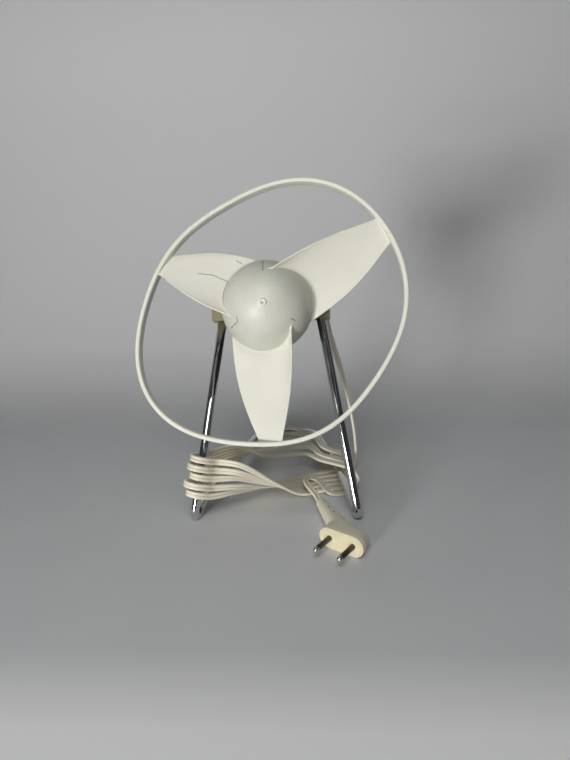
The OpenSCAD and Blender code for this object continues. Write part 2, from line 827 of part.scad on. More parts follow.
// Points of the stretch that hangs from the right block down to the table
drop_route = concat(
    [lead_exit, lead_exit + gland_dir * lead_w, lead_exit + gland_dir * 1.8 * lead_w],
    [
        [48, -7.6, 117.5], [50, -5.4, 110.5], [52.2, -4, 103], [54.4, -3, 95], [57.2, -2.3, 84],
        [60, -1.6, 72], [62.4, -1, 60], [64.4, -0.5, 48], [65.8, 0, 37], [66.6, 0, 27],
        [67, -0.3, 18.5], [66.9, -1, 11.5], [66.2, -2.2, 6.4], [64.4, -3.8, 3.2],
        [61.6, -5.4, 1.9], [58, -6.8, 1.7]
    ],
    [hank_path[0] - hank_out * lead_w, hank_path[0]]
);

tail_start = hank_path[hank_rings];
tail_out = unit(hank_path[hank_rings] - hank_path[hank_rings - 1]);

plug_yaw = -34;
plug_at = [48.5, -132.8, plug_t / 2];
neck_from = [-9, 12];
neck = [-42, 38];
neck_dir = unit(neck - neck_from);
neck_r = 4;
function from_plug(p) =
    plug_at + [p.x * cos(plug_yaw) - p.y * sin(plug_yaw), p.x * sin(plug_yaw) + p.y * cos(plug_yaw), 0];
tail_end = from_plug(neck);
tail_in = from_plug(neck + neck_dir * lead_w) - tail_end;

// Points of the stretch from the hank, over its own front strands, to the plug
tail_route = concat(
    [tail_start, tail_start + tail_out * lead_w],
    [
        [42, -54, 2.6], [38.5, -53, 4.4], [36, -48, 6], [33.4, -41.5, 6], [30, -36, 6], [25.8, -33.4, 6.2],
        [22.8, -35.6, 6.8], [21.9, -41.6, 8], [23.6, -50, 8.8], [27, -58.5, 8.8], [30.8, -66, 8.4]
    ],
    [tail_end + tail_in, tail_end]
);

function spread(a, b, n) = [for (i = [0 : n - 1]) mix(a, b, i / (n - 1))];

drop_across = spread([1, 0, 0], hank_across[0], len(drop_route));
tail_across = spread(hank_across[hank_rings], [1, 0.2, 0], len(tail_route));

// The least gap between strands of the hank, from the points of rings that aren't neighbours
function ring_gap(a, b) = min([for (p = a) for (q = b) norm(p - q)]);
function self_gap(rings, apart) = min([
    for (i = [0 : len(rings) - 1 - apart]) for (j = [i + apart : len(rings) - 1])
        if (norm(rings[i][0] - rings[j][0]) < 3 * lead_w) ring_gap(rings[i], rings[j])
]);
function path_length(path) = len(path) < 2 ? 0 :
    [for (i = 1, s = 0; i <= len(path); s = i < len(path) ? s + norm(path[i] - path[i - 1]) : s, i = i + 1) s]
    [len(path) - 1];

module cord_drop() {
    color(FLEX) ring_solid(lead_rings(drop_route, drop_across, 8));
}

module cord_hank() {
    rings = lead_rings(hank_path, hank_across, 6);
    echo(hank_self_gap = self_gap(rings, 8), hank_length = path_length(hank_path));
    color(FLEX) ring_solid(rings);
}

module cord_tail() {
    color(FLEX) ring_solid(lead_rings(tail_route, tail_across, 8));
}

// Plug: a flat angled body with an oval face and two round pins

module at_plug() {
    translate(plug_at) rotate([0, 0, plug_yaw]) children();
}

module oval_bar(l, t, y0, y1) {
    for (x = [-1, 1]) translate([x * (l - t) / 2, y0, 0]) rotate([-90, 0, 0])
        cylinder(d = t, h = y1 - y0, $fn = 32);
}

plug_rim = 1.2;

face_in = 0.6;
shank_d = 3.4;
shank_l = 7;

module plug_body() {
    color(CREAM) at_plug() difference() {
        union() {
            hull() {
                oval_bar(plug_face_l, plug_t, 0, 4);
                translate([plug_face_l / 2 - plug_t / 2 - 1, 9, 0]) sphere(d = plug_t - 1, $fn = 32);
                translate([-10, 13, 0]) sphere(d = plug_t - 2, $fn = 32);
            }
            hull() {
                translate([neck_from.x, neck_from.y, 0]) sphere(d = plug_t - 3, $fn = 32);
                translate([neck.x, neck.y, 0]) rotate([0, 0, atan2(neck_dir.y, neck_dir.x)])
                    rotate([0, -90, 0]) cylinder(r = neck_r, h = 3, $fn = 32);
            }
        }
        translate([0, -cut_over, 0]) hull()
            oval_bar(plug_face_l - 2 * plug_rim, plug_t - 2 * plug_rim, 0, cut_over + face_in);
        for (x = [-1, 1]) translate([x * pin_pitch / 2, 0, 0]) rotate([-90, 0, 0])
            cylinder(d = shank_d + 2 * seat_gap, h = face_in + shank_l + seat_gap);
    }
}

// Each pin stands on the sunk face, with a thinner shank inside the body
module plug_pins() {
    color(STEEL) at_plug() for (x = [-1, 1]) translate([x * pin_pitch / 2, face_in, 0]) rotate([90, 0, 0]) {
        translate([0, 0, -shank_l]) cylinder(d = shank_d, h = shank_l);
        cylinder(d = pin_d, h = pin_l - pin_d / 2);
        translate([0, 0, pin_l - pin_d / 2]) sphere(d = pin_d);
    }
}

stand_rod();
pivot_block_left();
pivot_block_right();
case_front();
case_rear();
case_screws();
pivot_screw_left();
pivot_sleeve_right();
friction_washers();
spring_washers();
bearing_front();
bearing_rear();
stator_core();
field_coil_left();
field_coil_right();
switch_body();
switch_slider();
impeller();
hub_bush();
motor_shaft();
armature();
cage_rings();
thrust_washers();
cord_gland();
cord_drop();
cord_hank();
cord_tail();
plug_body();
plug_pins();
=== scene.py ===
import math

import bmesh
import bpy
from mathutils import Matrix, Vector


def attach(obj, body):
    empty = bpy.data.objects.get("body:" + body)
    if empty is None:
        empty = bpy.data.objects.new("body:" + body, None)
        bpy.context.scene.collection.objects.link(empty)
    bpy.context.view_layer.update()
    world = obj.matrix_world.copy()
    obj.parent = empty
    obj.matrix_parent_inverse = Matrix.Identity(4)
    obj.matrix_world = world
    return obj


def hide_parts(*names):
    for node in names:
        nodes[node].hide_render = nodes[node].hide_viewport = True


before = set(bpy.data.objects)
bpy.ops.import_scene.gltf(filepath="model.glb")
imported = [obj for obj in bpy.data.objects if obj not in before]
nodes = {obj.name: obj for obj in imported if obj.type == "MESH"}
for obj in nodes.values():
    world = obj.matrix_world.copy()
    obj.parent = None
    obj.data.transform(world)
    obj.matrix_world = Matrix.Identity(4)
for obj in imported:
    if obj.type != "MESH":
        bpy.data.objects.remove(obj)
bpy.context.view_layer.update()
scene = bpy.context.scene

# Camera
# It stands a little above the fan and to its right, turned back to the left and tipped down
# at the hub, and it is a few degrees off level.

camera_at = Vector((0.03995, -0.47943, 0.23645))
turned_left = math.radians(4.13)
tipped_down = math.radians(17.38)
off_level = math.radians(-2.6)
lens_mm = 27.05

camera = bpy.data.objects.new("camera", bpy.data.cameras.new("camera"))
camera.data.lens = lens_mm
camera.matrix_world = (
    Matrix.Translation(camera_at)
    @ Matrix.Rotation(turned_left, 4, "Z")
    @ Matrix.Rotation(math.pi / 2 - tipped_down, 4, "X")
    @ Matrix.Rotation(off_level, 4, "Z")
)
scene.collection.objects.link(camera)
scene.camera = camera
scene.view_settings.view_transform = "Standard"

# Lead
# Flat twin flex: two stranded cores side by side in one vinyl sheath, with a groove between them.
# It hangs from the right block, goes five times round the left leg and the right rail as a hank,
# and comes out over its own front strands to the plug.

lead_w = 0.0052
lead_t = 0.0026
rod_r = 0.0035
leg_top = Vector((0.0371, -0.040, 0.156))
foot = Vector((0.0645, -0.094, 0.00091))
rail_peak = Vector((0.05256, -0.035, 0.0115))
rear_corner = Vector((0.0295, 0.079, 0.0035))


def flip(point):
    """The same point on the fan's left side."""
    return Vector((-point.x, point.y, point.z))


# the gland's boss leans down and out from the back of the right block
gland_dir = Vector((0.22, 0.66, -0.72)).normalized()
boss_root = leg_top + Vector((0.0002, 0.003, -0.002))
boss_l = 0.009
gland_seat = boss_root + gland_dir * boss_l
gland_l = 0.022
lead_exit = gland_seat + gland_dir * gland_l

# one turn of the hank: where it passes, how far the next turn lies from it, and how far a slack
# turn strays there
leg_gap = 0.0016
rail_gap = 0.003
wrap_gap = 0.0014
leg_pitch = lead_w + leg_gap
rail_pitch = lead_w + rail_gap
rail_back = rear_corner - rail_peak
rail_step = -Vector((rail_back.x, rail_back.y, 0)).normalized() * rail_pitch
left_up = flip(leg_top - foot).normalized()
wrap_r = rod_r / left_up.z + lead_t / 2 + wrap_gap
wrap_z = 0.020
wrap_lead = 0.009
wrap_axis = flip(foot) + left_up * ((wrap_z - foot.z) / left_up.z)
wrap_step = left_up * leg_pitch


def square_to_leg(degrees):
    """A direction round the left leg, in the plane square to it."""
    x = math.cos(math.radians(degrees))
    y = math.sin(math.radians(degrees))
    return Vector((x, y, -(left_up.x * x + left_up.y * y) / left_up.z))


def wrap(degrees, slack, ahead=0):
    """A station of the turn round the left leg, or one ahead of it on the straight."""
    out = square_to_leg(degrees)
    return wrap_axis + out * wrap_r + square_to_leg(degrees - 90) * ahead, wrap_step, out * slack


slack_turns = (0.35, 1, 0.15, 0.8, 0.5)
none = (0, 0, 0)
stations = [
    ((0.0476, -0.0106, 0.0022), rail_step, none),
    ((0.0345, -0.0145, 0.0018), (0.0014, -0.0076, 0.0001), none),
    ((0.011, -0.025, 0.002), (0.0018, -0.007, 0.0003), none),
    ((-0.012, -0.046, 0.007), (0.0026, -0.0046, 0.003), (0, 0.001, -0.002)),
    ((-0.035, -0.072, 0.015), (0.0018, -0.0009, 0.0063), (0.001, -0.004, 0)),
    wrap(-50, 0.0015, -wrap_lead),
    wrap(-50, 0.0025),
    wrap(-95, 0.0035),
    wrap(-140, 0.004),
    wrap(175, 0.004),
    wrap(150, 0.0035),
    wrap(150, 0.0025, wrap_lead),
    ((-0.045, -0.044, 0.021), (0.0024, -0.0012, 0.0052), (0.001, 0.002, 0)),
    ((-0.028, 0.019, 0.017), (0.003, -0.0086, 0.001), (0, -0.002, 0.004)),
    ((0, 0.083, 0.0104), (0.0008, -0.0188, 0.001), (0, -0.004, 0.003)),
    ((0.028, 0.061, 0.0105), (-0.0012, -0.0136, 0.0008), (0.0015, 0, 0.003)),
    ((0.042, 0.012, 0.0145), (-0.0015, -0.0062, 0), (0, 0, 0.005)),
    ((0.0538, 0.0035, 0.0155), rail_step, none),
    ((0.0583, -0.0012, 0.0098), rail_step, none),
    ((0.0543, -0.006, 0.0044), rail_step, none),
]
drop_points = [
    lead_exit, lead_exit + gland_dir * lead_w, lead_exit + gland_dir * 1.8 * lead_w,
    (0.048, -0.0076, 0.1175), (0.050, -0.0054, 0.1105), (0.0522, -0.004, 0.103),
    (0.0544, -0.003, 0.095), (0.0572, -0.0023, 0.084), (0.060, -0.0016, 0.072),
    (0.0624, -0.001, 0.060), (0.0644, -0.0005, 0.048), (0.0658, 0, 0.037),
    (0.0666, 0, 0.027), (0.067, -0.0003, 0.0185), (0.0669, -0.001, 0.0115),
    (0.0662, -0.0022, 0.0064), (0.0644, -0.0038, 0.0032), (0.0616, -0.0054, 0.0019),
    (0.058, -0.0068, 0.0017), (0.0526, -0.0089, 0.0024),
]
plug_at = Vector((0.0485, -0.1328, 0.008))
plug_yaw = math.radians(-34)
plug_frame = Matrix.Translation(plug_at) @ Matrix.Rotation(plug_yaw, 4, "Z")
neck_root = Vector((-0.009, 0.012, 0))
neck = Vector((-0.042, 0.038, 0))
neck_dir = (neck - neck_root).normalized()
tail_points = [
    (0.0455, -0.0527, 0.0022), (0.0426, -0.0533, 0.0036), (0.0398, -0.0519, 0.0056),
    (0.0374, -0.0477, 0.0066), (0.0348, -0.0415, 0.0066), (0.0318, -0.0362, 0.0068),
    (0.0275, -0.0338, 0.0074), (0.0236, -0.0358, 0.0084), (0.0222, -0.0414, 0.0094),
    (0.0236, -0.050, 0.01), (0.027, -0.0585, 0.0098), (0.0308, -0.066, 0.009),
    plug_frame @ (neck + neck_dir * lead_w), plug_frame @ neck,
]


def spread(points, first, last):
    """Pairs each point with the way the flex's width lies there, turned evenly from first to last."""
    return [
        (Vector(p), Vector(first).lerp(Vector(last), i / (len(points) - 1)))
        for i, p in enumerate(points)
    ]


def level(points):
    """Pairs each point with the way the flex's width lies there, flat and square to its run."""
    points = [Vector(p) for p in points]
    runs = [b - a for a, b in zip(points[:1] + points, points[1:] + points[-1:])]
    return [(p, Vector((run.y, -run.x, 0)).normalized() * lead_w) for p, run in zip(points, runs)]


knots = spread(drop_points, (lead_w, 0, 0), -rail_step)
for turn, share in enumerate(slack_turns):
    for i, (point, step, slack) in enumerate(stations):
        on = turn + i / len(stations)
        knots.append((Vector(point) + Vector(step) * on + Vector(slack) * share, -Vector(step)))
knots.append((Vector(stations[0][0]) + rail_step * len(slack_turns), -rail_step))
knots += level(tail_points)


def smooth(knots, step):
    """Points and widthways directions, about a step apart, of one smooth curve through the knots."""
    gaps = [math.sqrt((b[0] - a[0]).length) for a, b in zip(knots, knots[1:])]

    def slope(k, i):
        if i == 0 or i == len(gaps):
            j = min(i, len(gaps) - 1)
            return (knots[j + 1][k] - knots[j][k]) / gaps[j]
        before, here, after = (knots[j][k] for j in (i - 1, i, i + 1))
        a, b = gaps[i - 1], gaps[i]
        return (here - before) / a + (after - here) / b - (after - before) / (a + b)

    curve = []
    for i, gap in enumerate(gaps):
        count = max(1, round(gap * gap / step))
        for u in (n / count for n in range(count)):
            v = 1 - u
            curve.append([
                knots[i][k] * (v * v * (1 + 2 * u)) + knots[i + 1][k] * (u * u * (1 + 2 * v))
                + (slope(k, i) * v - slope(k, i + 1) * u) * (u * v * gap)
                for k in (0, 1)
            ])
    return curve + [list(knots[-1])]


lead_step = 0.002
lead_curve = smooth(knots, lead_step)

# section of the flex: two round cores that meet in a groove above and below
core_r = lead_t / 2
core_at = lead_w / 2 - core_r
arc = [math.radians(d) for d in range(-150, 151, 30)]
flex_section = [
    (side * (core_at + core_r * math.cos(a)), side * core_r * math.sin(a)) for side in (1, -1) for a in arc
]


def sweep_rings(curve, section):
    """Copies of a section along a curve of points and widthways directions."""
    rings = []
    for i, (point, across) in enumerate(curve):
        ahead = curve[min(i + 1, len(curve) - 1)][0] - curve[max(i - 1, 0)][0]
        ahead.normalize()
        wide = (across - ahead * across.dot(ahead)).normalized()
        up = ahead.cross(wide)
        rings.append([point + wide * x + up * y for x, y in section])
    return rings


def skin(name, rings, closed=False):
    """A piece through rings of points, capped at both ends or closed on itself."""
    k = len(rings[0])
    n = len(rings)
    faces = [
        (i * k + j, i * k + (j + 1) % k, (i + 1) % n * k + (j + 1) % k, (i + 1) % n * k + j)
        for i in range(n if closed else n - 1) for j in range(k)
    ]
    if not closed:
        faces += [tuple(reversed(range(k))), tuple(range((n - 1) * k, n * k))]
    mesh = bpy.data.meshes.new(name)
    mesh.from_pydata([p for ring in rings for p in ring], [], faces)
    mesh.shade_smooth()
    piece = bpy.data.objects.new(name, mesh)
    scene.collection.objects.link(piece)
    return piece


def linear(code):
    """A hex sRGB colour as linear red, green, blue and alpha."""
    parts = [int(code[i:i + 2], 16) / 255 for i in (1, 3, 5)]
    return [c / 12.92 if c < 0.04045 else ((c + 0.055) / 1.055) ** 2.4 for c in parts] + [1]


def blank(name):
    """The empty node tree of a new material."""
    material = bpy.data.materials.new(name)
    material.use_nodes = True
    material.node_tree.nodes.clear()
    return material.node_tree


def add(tree, kind, settings, links={}):
    """Adds a node, sets its properties and free sockets, and links the others."""
    made = tree.nodes.new("ShaderNode" + kind)
    for name, value in settings.items():
        if isinstance(name, str) and hasattr(made, name):
            setattr(made, name, value)
        else:
            made.inputs[name].default_value = value
    for name, socket in links.items():
        tree.links.new(socket, made.inputs[name])
    return made


MM = 0.001

# Vinyl sheath, extruded: a soft satin gloss, yellowed unevenly along its length
tree = blank("flex_vinyl")
at = add(tree, "TexCoord", {}).outputs["Object"]
yellowing = add(tree, "TexNoise", {"Scale": 1 / (35 * MM), "Detail": 3}, {"Vector": at})
grime = add(tree, "TexNoise", {"Scale": 1 / (1.5 * MM), "Detail": 4, "Roughness": 0.7}, {"Vector": at})
tone = add(tree, "MixRGB", {"Color1": linear("#f1eddd"), "Color2": linear("#e4dcc2")},
           {"Fac": yellowing.outputs["Fac"]})
spots = add(tree, "MapRange", {"From Min": 0.62, "From Max": 0.8, "To Max": 0.35},
            {"Value": grime.outputs["Fac"]})
soiled = add(tree, "MixRGB", {"Color2": linear("#a59a78")},
             {"Fac": spots.outputs[0], "Color1": tone.outputs[0]})
relief = add(tree, "Bump", {"Strength": 0.15, "Distance": 0.1 * MM}, {"Height": grime.outputs["Fac"]})
sheath = add(tree, "BsdfPrincipled", {"Roughness": 0.42, "IOR": 1.53, "Subsurface Weight": 0.08,
                                      "Subsurface Radius": (1 * MM, 0.8 * MM, 0.5 * MM)},
             {"Base Color": soiled.outputs[0], "Normal": relief.outputs[0]})
add(tree, "OutputMaterial", {}, {"Surface": sheath.outputs[0]})

# Painted shade in the groove between the cores: dull and dark brown, so that the two cores read apart
tree = blank("flex_groove_grime")
at = add(tree, "TexCoord", {}).outputs["Object"]
patches = add(tree, "TexNoise", {"Scale": 1 / (6 * MM), "Detail": 3}, {"Vector": at})
shade_in_groove = add(tree, "MixRGB", {"Color1": linear("#b8ae8e"), "Color2": linear("#8d8364")},
           {"Fac": patches.outputs["Fac"]})
groove = add(tree, "BsdfPrincipled", {"Roughness": 0.75, "IOR": 1.5}, {"Base Color": shade_in_groove.outputs[0]})
add(tree, "OutputMaterial", {}, {"Surface": groove.outputs[0]})

flex = skin("twin_flex", sweep_rings(lead_curve, flex_section))
flex.data.materials.append(bpy.data.materials["flex_vinyl"])
flex.data.materials.append(bpy.data.materials["flex_groove_grime"])
# the two faces across the groove take the painted shade
for i in range((len(lead_curve) - 1) * len(flex_section)):
    if i % len(arc) == len(arc) - 1:
        flex.data.polygons[i].material_index = 1
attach(flex, "stand")
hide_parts("cord_drop", "cord_hank", "cord_tail")

# Plug
# An angled two-pin plug, moulded on the end of the lead in cream vinyl: a flat body that runs out
# into a tapered neck, and an oval face with a raised rim. Both sides are bare.

face_depth = 0.0022
neck_fuller = 0.6
fuller_from = -0.15


def remoulded(node, name, voxel, passes):
    """A fine smooth copy of a faceted CAD node."""
    piece = bpy.data.objects.new(name, nodes[node].data.copy())
    scene.collection.objects.link(piece)
    remesh = piece.modifiers.new("remesh", "REMESH")
    remesh.mode = "VOXEL"
    remesh.voxel_size = voxel
    remesh.use_smooth_shade = True
    calm = piece.modifiers.new("calm", "SMOOTH")
    calm.factor = 0.5
    calm.iterations = passes
    mesh = bpy.data.meshes.new_from_object(piece.evaluated_get(bpy.context.evaluated_depsgraph_get()))
    piece.modifiers.clear()
    piece.data = mesh
    piece.data.materials.clear()
    return piece


# Moulded vinyl, handled for years: satin, specked with dirt, with a faint orange-peel skin and
# two dark nicks along the neck
neck_nicks = [plug_frame @ Vector(p) for p in ((-0.0288, 0.0297, 0), (-0.0217, 0.0253, 0))]
tree = blank("plug_vinyl")
at = add(tree, "TexCoord", {}).outputs["Object"]
blotch = add(tree, "TexNoise", {"Scale": 1 / (9 * MM), "Detail": 4, "Roughness": 0.6}, {"Vector": at})
peel = add(tree, "TexNoise", {"Scale": 1 / (0.5 * MM), "Detail": 2}, {"Vector": at})
tone = add(tree, "MixRGB", {"Color1": linear("#ebe7d3"), "Color2": linear("#d4ceb3")},
           {"Fac": blotch.outputs["Fac"]})
specks = add(tree, "MapRange", {"From Min": 0.66, "From Max": 0.78, "To Max": 0.4},
             {"Value": peel.outputs["Fac"]})
soiled = add(tree, "MixRGB", {"Color2": linear("#8f8768")},
             {"Fac": specks.outputs[0], "Color1": tone.outputs[0]})
flat = add(tree, "VectorMath", {"operation": "MULTIPLY", 1: (1, 1, 0)}, {0: at}).outputs["Vector"]
gaps = [add(tree, "VectorMath", {"operation": "DISTANCE", 1: (p.x, p.y, 0)}, {0: flat}) for p in neck_nicks]
near = add(tree, "Math", {"operation": "MINIMUM"}, {i: gap.outputs["Value"] for i, gap in enumerate(gaps)})
nicks = add(tree, "MapRange", {"From Min": 1 * MM, "From Max": 0.6 * MM, "To Max": 0.85},
            {"Value": near.outputs[0]})
nicked = add(tree, "MixRGB", {"Color2": linear("#3d382b")},
             {"Fac": nicks.outputs[0], "Color1": soiled.outputs[0]})
relief = add(tree, "Bump", {"Strength": 0.2, "Distance": 0.1 * MM}, {"Height": peel.outputs["Fac"]})
moulded = add(tree, "BsdfPrincipled", {"Roughness": 0.48, "IOR": 1.53},
              {"Base Color": nicked.outputs[0], "Normal": relief.outputs[0]})
add(tree, "OutputMaterial", {}, {"Surface": moulded.outputs[0]})

# The plug's face: the same vinyl, cleaner and yellower where it sat in sockets
tree = blank("plug_face_vinyl")
at = add(tree, "TexCoord", {}).outputs["Object"]
blotch = add(tree, "TexNoise", {"Scale": 1 / (5 * MM), "Detail": 3}, {"Vector": at})
tone = add(tree, "MixRGB", {"Color1": linear("#efe7cc"), "Color2": linear("#dccfa6")},
           {"Fac": blotch.outputs["Fac"]})
moulded = add(tree, "BsdfPrincipled", {"Roughness": 0.4, "IOR": 1.53}, {"Base Color": tone.outputs[0]})
add(tree, "OutputMaterial", {}, {"Surface": moulded.outputs[0]})

plug = remoulded("plug_body", "plug_moulding", voxel=0.0004, passes=4)
plug.data.materials.append(bpy.data.materials["plug_vinyl"])
plug.data.materials.append(bpy.data.materials["plug_face_vinyl"])
to_plug = plug_frame.inverted()

# the neck is fuller behind than in front
neck_l = (neck - neck_root).length
neck_side = Vector((-neck_dir.y, neck_dir.x, 0))
for vertex in plug.data.vertices:
    place = to_plug @ vertex.co
    behind = min(0, (place - neck_root).dot(neck_side))
    share = ((place - neck_root).dot(neck_dir) / neck_l - fuller_from) / (1 - fuller_from)
    if 0 < share < 1:
        vertex.co = plug_frame @ (place + neck_side * (behind * neck_fuller * math.sin(math.pi * share)))

for face in plug.data.polygons:
    if (to_plug @ face.center).y < face_depth:
        face.material_index = 1
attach(plug, "stand")
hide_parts("plug_body")

# Plug pins
# Two round pins of nickel-plated brass, turned with domed ends and moulded into the face.

pin_tip_y = -0.0184
pin_bare_l = 0.004

# Nickel plate gone dark with use, and rubbed bright at the tips
tree = blank("worn_nickel_plate")
at = add(tree, "TexCoord", {}).outputs["Object"]
pin_way = plug_frame.to_3x3() @ Vector((0, 1, 0))
tip_at = pin_way.dot(plug_frame @ Vector((0, pin_tip_y, 0)))
along = add(tree, "VectorMath", {"operation": "DOT_PRODUCT", 1: pin_way}, {0: at})
scratch = add(tree, "TexNoise", {"Scale": 1 / (0.8 * MM), "Detail": 4}, {"Vector": at})
edge = add(tree, "Math", {"operation": "MULTIPLY_ADD", 1: 3 * MM, 2: -1.5 * MM}, {0: scratch.outputs["Fac"]})
reach = add(tree, "Math", {"operation": "ADD"}, {0: along.outputs["Value"], 1: edge.outputs[0]})
worn = add(tree, "MapRange", {"From Min": tip_at + pin_bare_l, "From Max": tip_at + pin_bare_l / 2},
           {"Value": reach.outputs[0]})
tone = add(tree, "MixRGB", {"Color1": linear("#5d584c"), "Color2": linear("#d8d4c8")},
           {"Fac": worn.outputs[0]})
dull = add(tree, "MapRange", {"To Min": 0.38, "To Max": 0.2}, {"Value": worn.outputs[0]})
plate = add(tree, "BsdfPrincipled", {"Metallic": 1},
            {"Base Color": tone.outputs[0], "Roughness": dull.outputs[0]})
add(tree, "OutputMaterial", {}, {"Surface": plate.outputs[0]})


def dress(node, material):
    """Gives a CAD node its finish."""
    nodes[node].data.materials.clear()
    nodes[node].data.materials.append(bpy.data.materials[material])


dress("plug_pins", "worn_nickel_plate")

# Stand
# One steel rod, bent cold into two legs, two humped rails and a rear bar, then polished and
# chromium-plated. The plate is pitted, and has rusted through inside the two front bends.

foot_lift = 0.0011
rod_past = 0.0045
foot_bend_r = 0.0055
rail_bend_r = 0.2
rear_bend_r = 0.019
rod_sides = 32
leg_way = (leg_top - foot).normalized()
rod_foot = foot + leg_way * foot_lift
right_corners = [leg_top + leg_way * rod_past, rod_foot, rail_peak, rear_corner]
rod_corners = right_corners + [flip(p) for p in reversed(right_corners)]
rod_bends = [foot_bend_r, rail_bend_r, rear_bend_r, rear_bend_r, rail_bend_r, foot_bend_r]


def bent(corners, bends, straight_step, turn_step):
    """Points along a line that is bent round at each inner corner."""
    line = [corners[0]]
    for before, here, after, radius in zip(corners, corners[1:], corners[2:], bends):
        come = (here - before).normalized()
        go = (after - here).normalized()
        turn = come.angle(go)
        start = here - come * radius * math.tan(turn / 2)
        centre = here + (go - come).normalized() * radius / math.cos(turn / 2)
        axis = come.cross(go)
        steps = max(4, round(turn / turn_step))
        from_here = line[-1]
        lengths = max(1, round((start - from_here).length / straight_step))
        line += [from_here.lerp(start, n / lengths) for n in range(1, lengths + 1)]
        line += [centre + Matrix.Rotation(turn * n / steps, 3, axis) @ (start - centre)
                 for n in range(1, steps + 1)]
    return line + [corners[-1]]


def rod_curve(line):
    """Pairs each point with a widthways direction that turns as little as it can."""
    across = Vector((1, 0, 0))
    curve = []
    for i, point in enumerate(line):
        ahead = (line[min(i + 1, len(line) - 1)] - line[max(i - 1, 0)]).normalized()
        across = (across - ahead * across.dot(ahead)).normalized()
        curve.append((point, across))
    return curve


# Chromium plate on steel: a mirror with fine pits, and crusted rust where the bends hold damp
tree = blank("chromium_plate")
at = add(tree, "TexCoord", {}).outputs["Object"]
pits = add(tree, "TexNoise", {"Scale": 1 / (0.9 * MM), "Detail": 5, "Roughness": 0.7}, {"Vector": at})
haze = add(tree, "TexNoise", {"Scale": 1 / (14 * MM), "Detail": 4}, {"Vector": at})
mirrored = add(tree, "VectorMath", {"operation": "ABSOLUTE"}, {0: at})
back = (rail_peak - rod_foot).normalized()
hollow = rod_foot + (back + leg_way).normalized() * foot_bend_r / math.sin(leg_way.angle(back) / 2)
rust_at = Vector([abs(c) for c in hollow])
away = add(tree, "VectorMath", {"operation": "DISTANCE", 1: rust_at}, {0: mirrored.outputs["Vector"]})
ragged = add(tree, "Math", {"operation": "MULTIPLY_ADD", 1: 5 * MM, 2: -2.5 * MM}, {0: pits.outputs["Fac"]})
near = add(tree, "Math", {"operation": "ADD"}, {0: away.outputs["Value"], 1: ragged.outputs[0]})
rust = add(tree, "MapRange", {"From Min": 6 * MM, "From Max": 4 * MM}, {"Value": near.outputs[0]})
pitted = add(tree, "MapRange", {"From Min": 0.66, "From Max": 0.74, "To Max": 0.6},
             {"Value": pits.outputs["Fac"]})
bright = add(tree, "MixRGB", {"Color1": linear("#d2d4d6"), "Color2": linear("#5b5750")},
             {"Fac": pitted.outputs[0]})
crust = add(tree, "MixRGB", {"Color1": linear("#8a6f35"), "Color2": linear("#3f2f1a")},
            {"Fac": pits.outputs["Fac"]})
tone = add(tree, "MixRGB", {},
           {"Fac": rust.outputs[0], "Color1": bright.outputs[0], "Color2": crust.outputs[0]})
gloss = add(tree, "MapRange", {"From Min": 0.35, "From Max": 0.75, "To Min": 0.05, "To Max": 0.22},
            {"Value": haze.outputs["Fac"]})
dull = add(tree, "MapRange", {"To Max": 0.8}, {"Value": rust.outputs[0]})
rough = add(tree, "Math", {"operation": "MAXIMUM"}, {0: gloss.outputs[0], 1: dull.outputs[0]})
metal = add(tree, "Math", {"operation": "SUBTRACT", 0: 1}, {1: rust.outputs[0]})
relief = add(tree, "Bump", {"Strength": 0.3, "Distance": 0.05 * MM}, {"Height": pitted.outputs[0]})
plate = add(tree, "BsdfPrincipled", {},
            {"Base Color": tone.outputs[0], "Metallic": metal.outputs[0], "Roughness": rough.outputs[0],
             "Normal": relief.outputs[0]})
add(tree, "OutputMaterial", {}, {"Surface": plate.outputs[0]})

round_section = [
    (rod_r * math.cos(2 * math.pi * j / rod_sides), rod_r * math.sin(2 * math.pi * j / rod_sides))
    for j in range(rod_sides)
]
rod_line = bent(rod_corners, rod_bends, straight_step=0.01, turn_step=math.radians(5))
rod = skin("bent_rod", sweep_rings(rod_curve(rod_line), round_section))
rod.data.materials.append(bpy.data.materials["chromium_plate"])
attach(rod, "stand")
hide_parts("stand_rod")

# Pivot blocks
# Two cream lugs with round tops, moulded in urea resin and pushed on the ends of the rod.
# The right one has a boss at the back, where the lead goes in.

same_place = 1e-6
flat_within = math.radians(0.5)
sharp_from = math.radians(35)


def eased(node, name, width, segments=3):
    """A copy of a CAD node with its sharp edges rounded, which takes the node's place."""
    mesh = nodes[node].data.copy()
    shape = bmesh.new()
    shape.from_mesh(mesh)
    bmesh.ops.remove_doubles(shape, verts=shape.verts, dist=same_place)
    bmesh.ops.dissolve_limit(shape, angle_limit=flat_within, verts=shape.verts, edges=shape.edges)
    shape.to_mesh(mesh)
    shape.free()
    mesh.materials.clear()
    mesh.shade_smooth()
    piece = bpy.data.objects.new(name, mesh)
    scene.collection.objects.link(piece)
    bevel = piece.modifiers.new("eased_edges", "BEVEL")
    bevel.width = width
    bevel.segments = segments
    bevel.limit_method = "ANGLE"
    bevel.angle_limit = sharp_from
    piece.modifiers.new("even_shading", "WEIGHTED_NORMAL").keep_sharp = True
    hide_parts(node)
    return piece
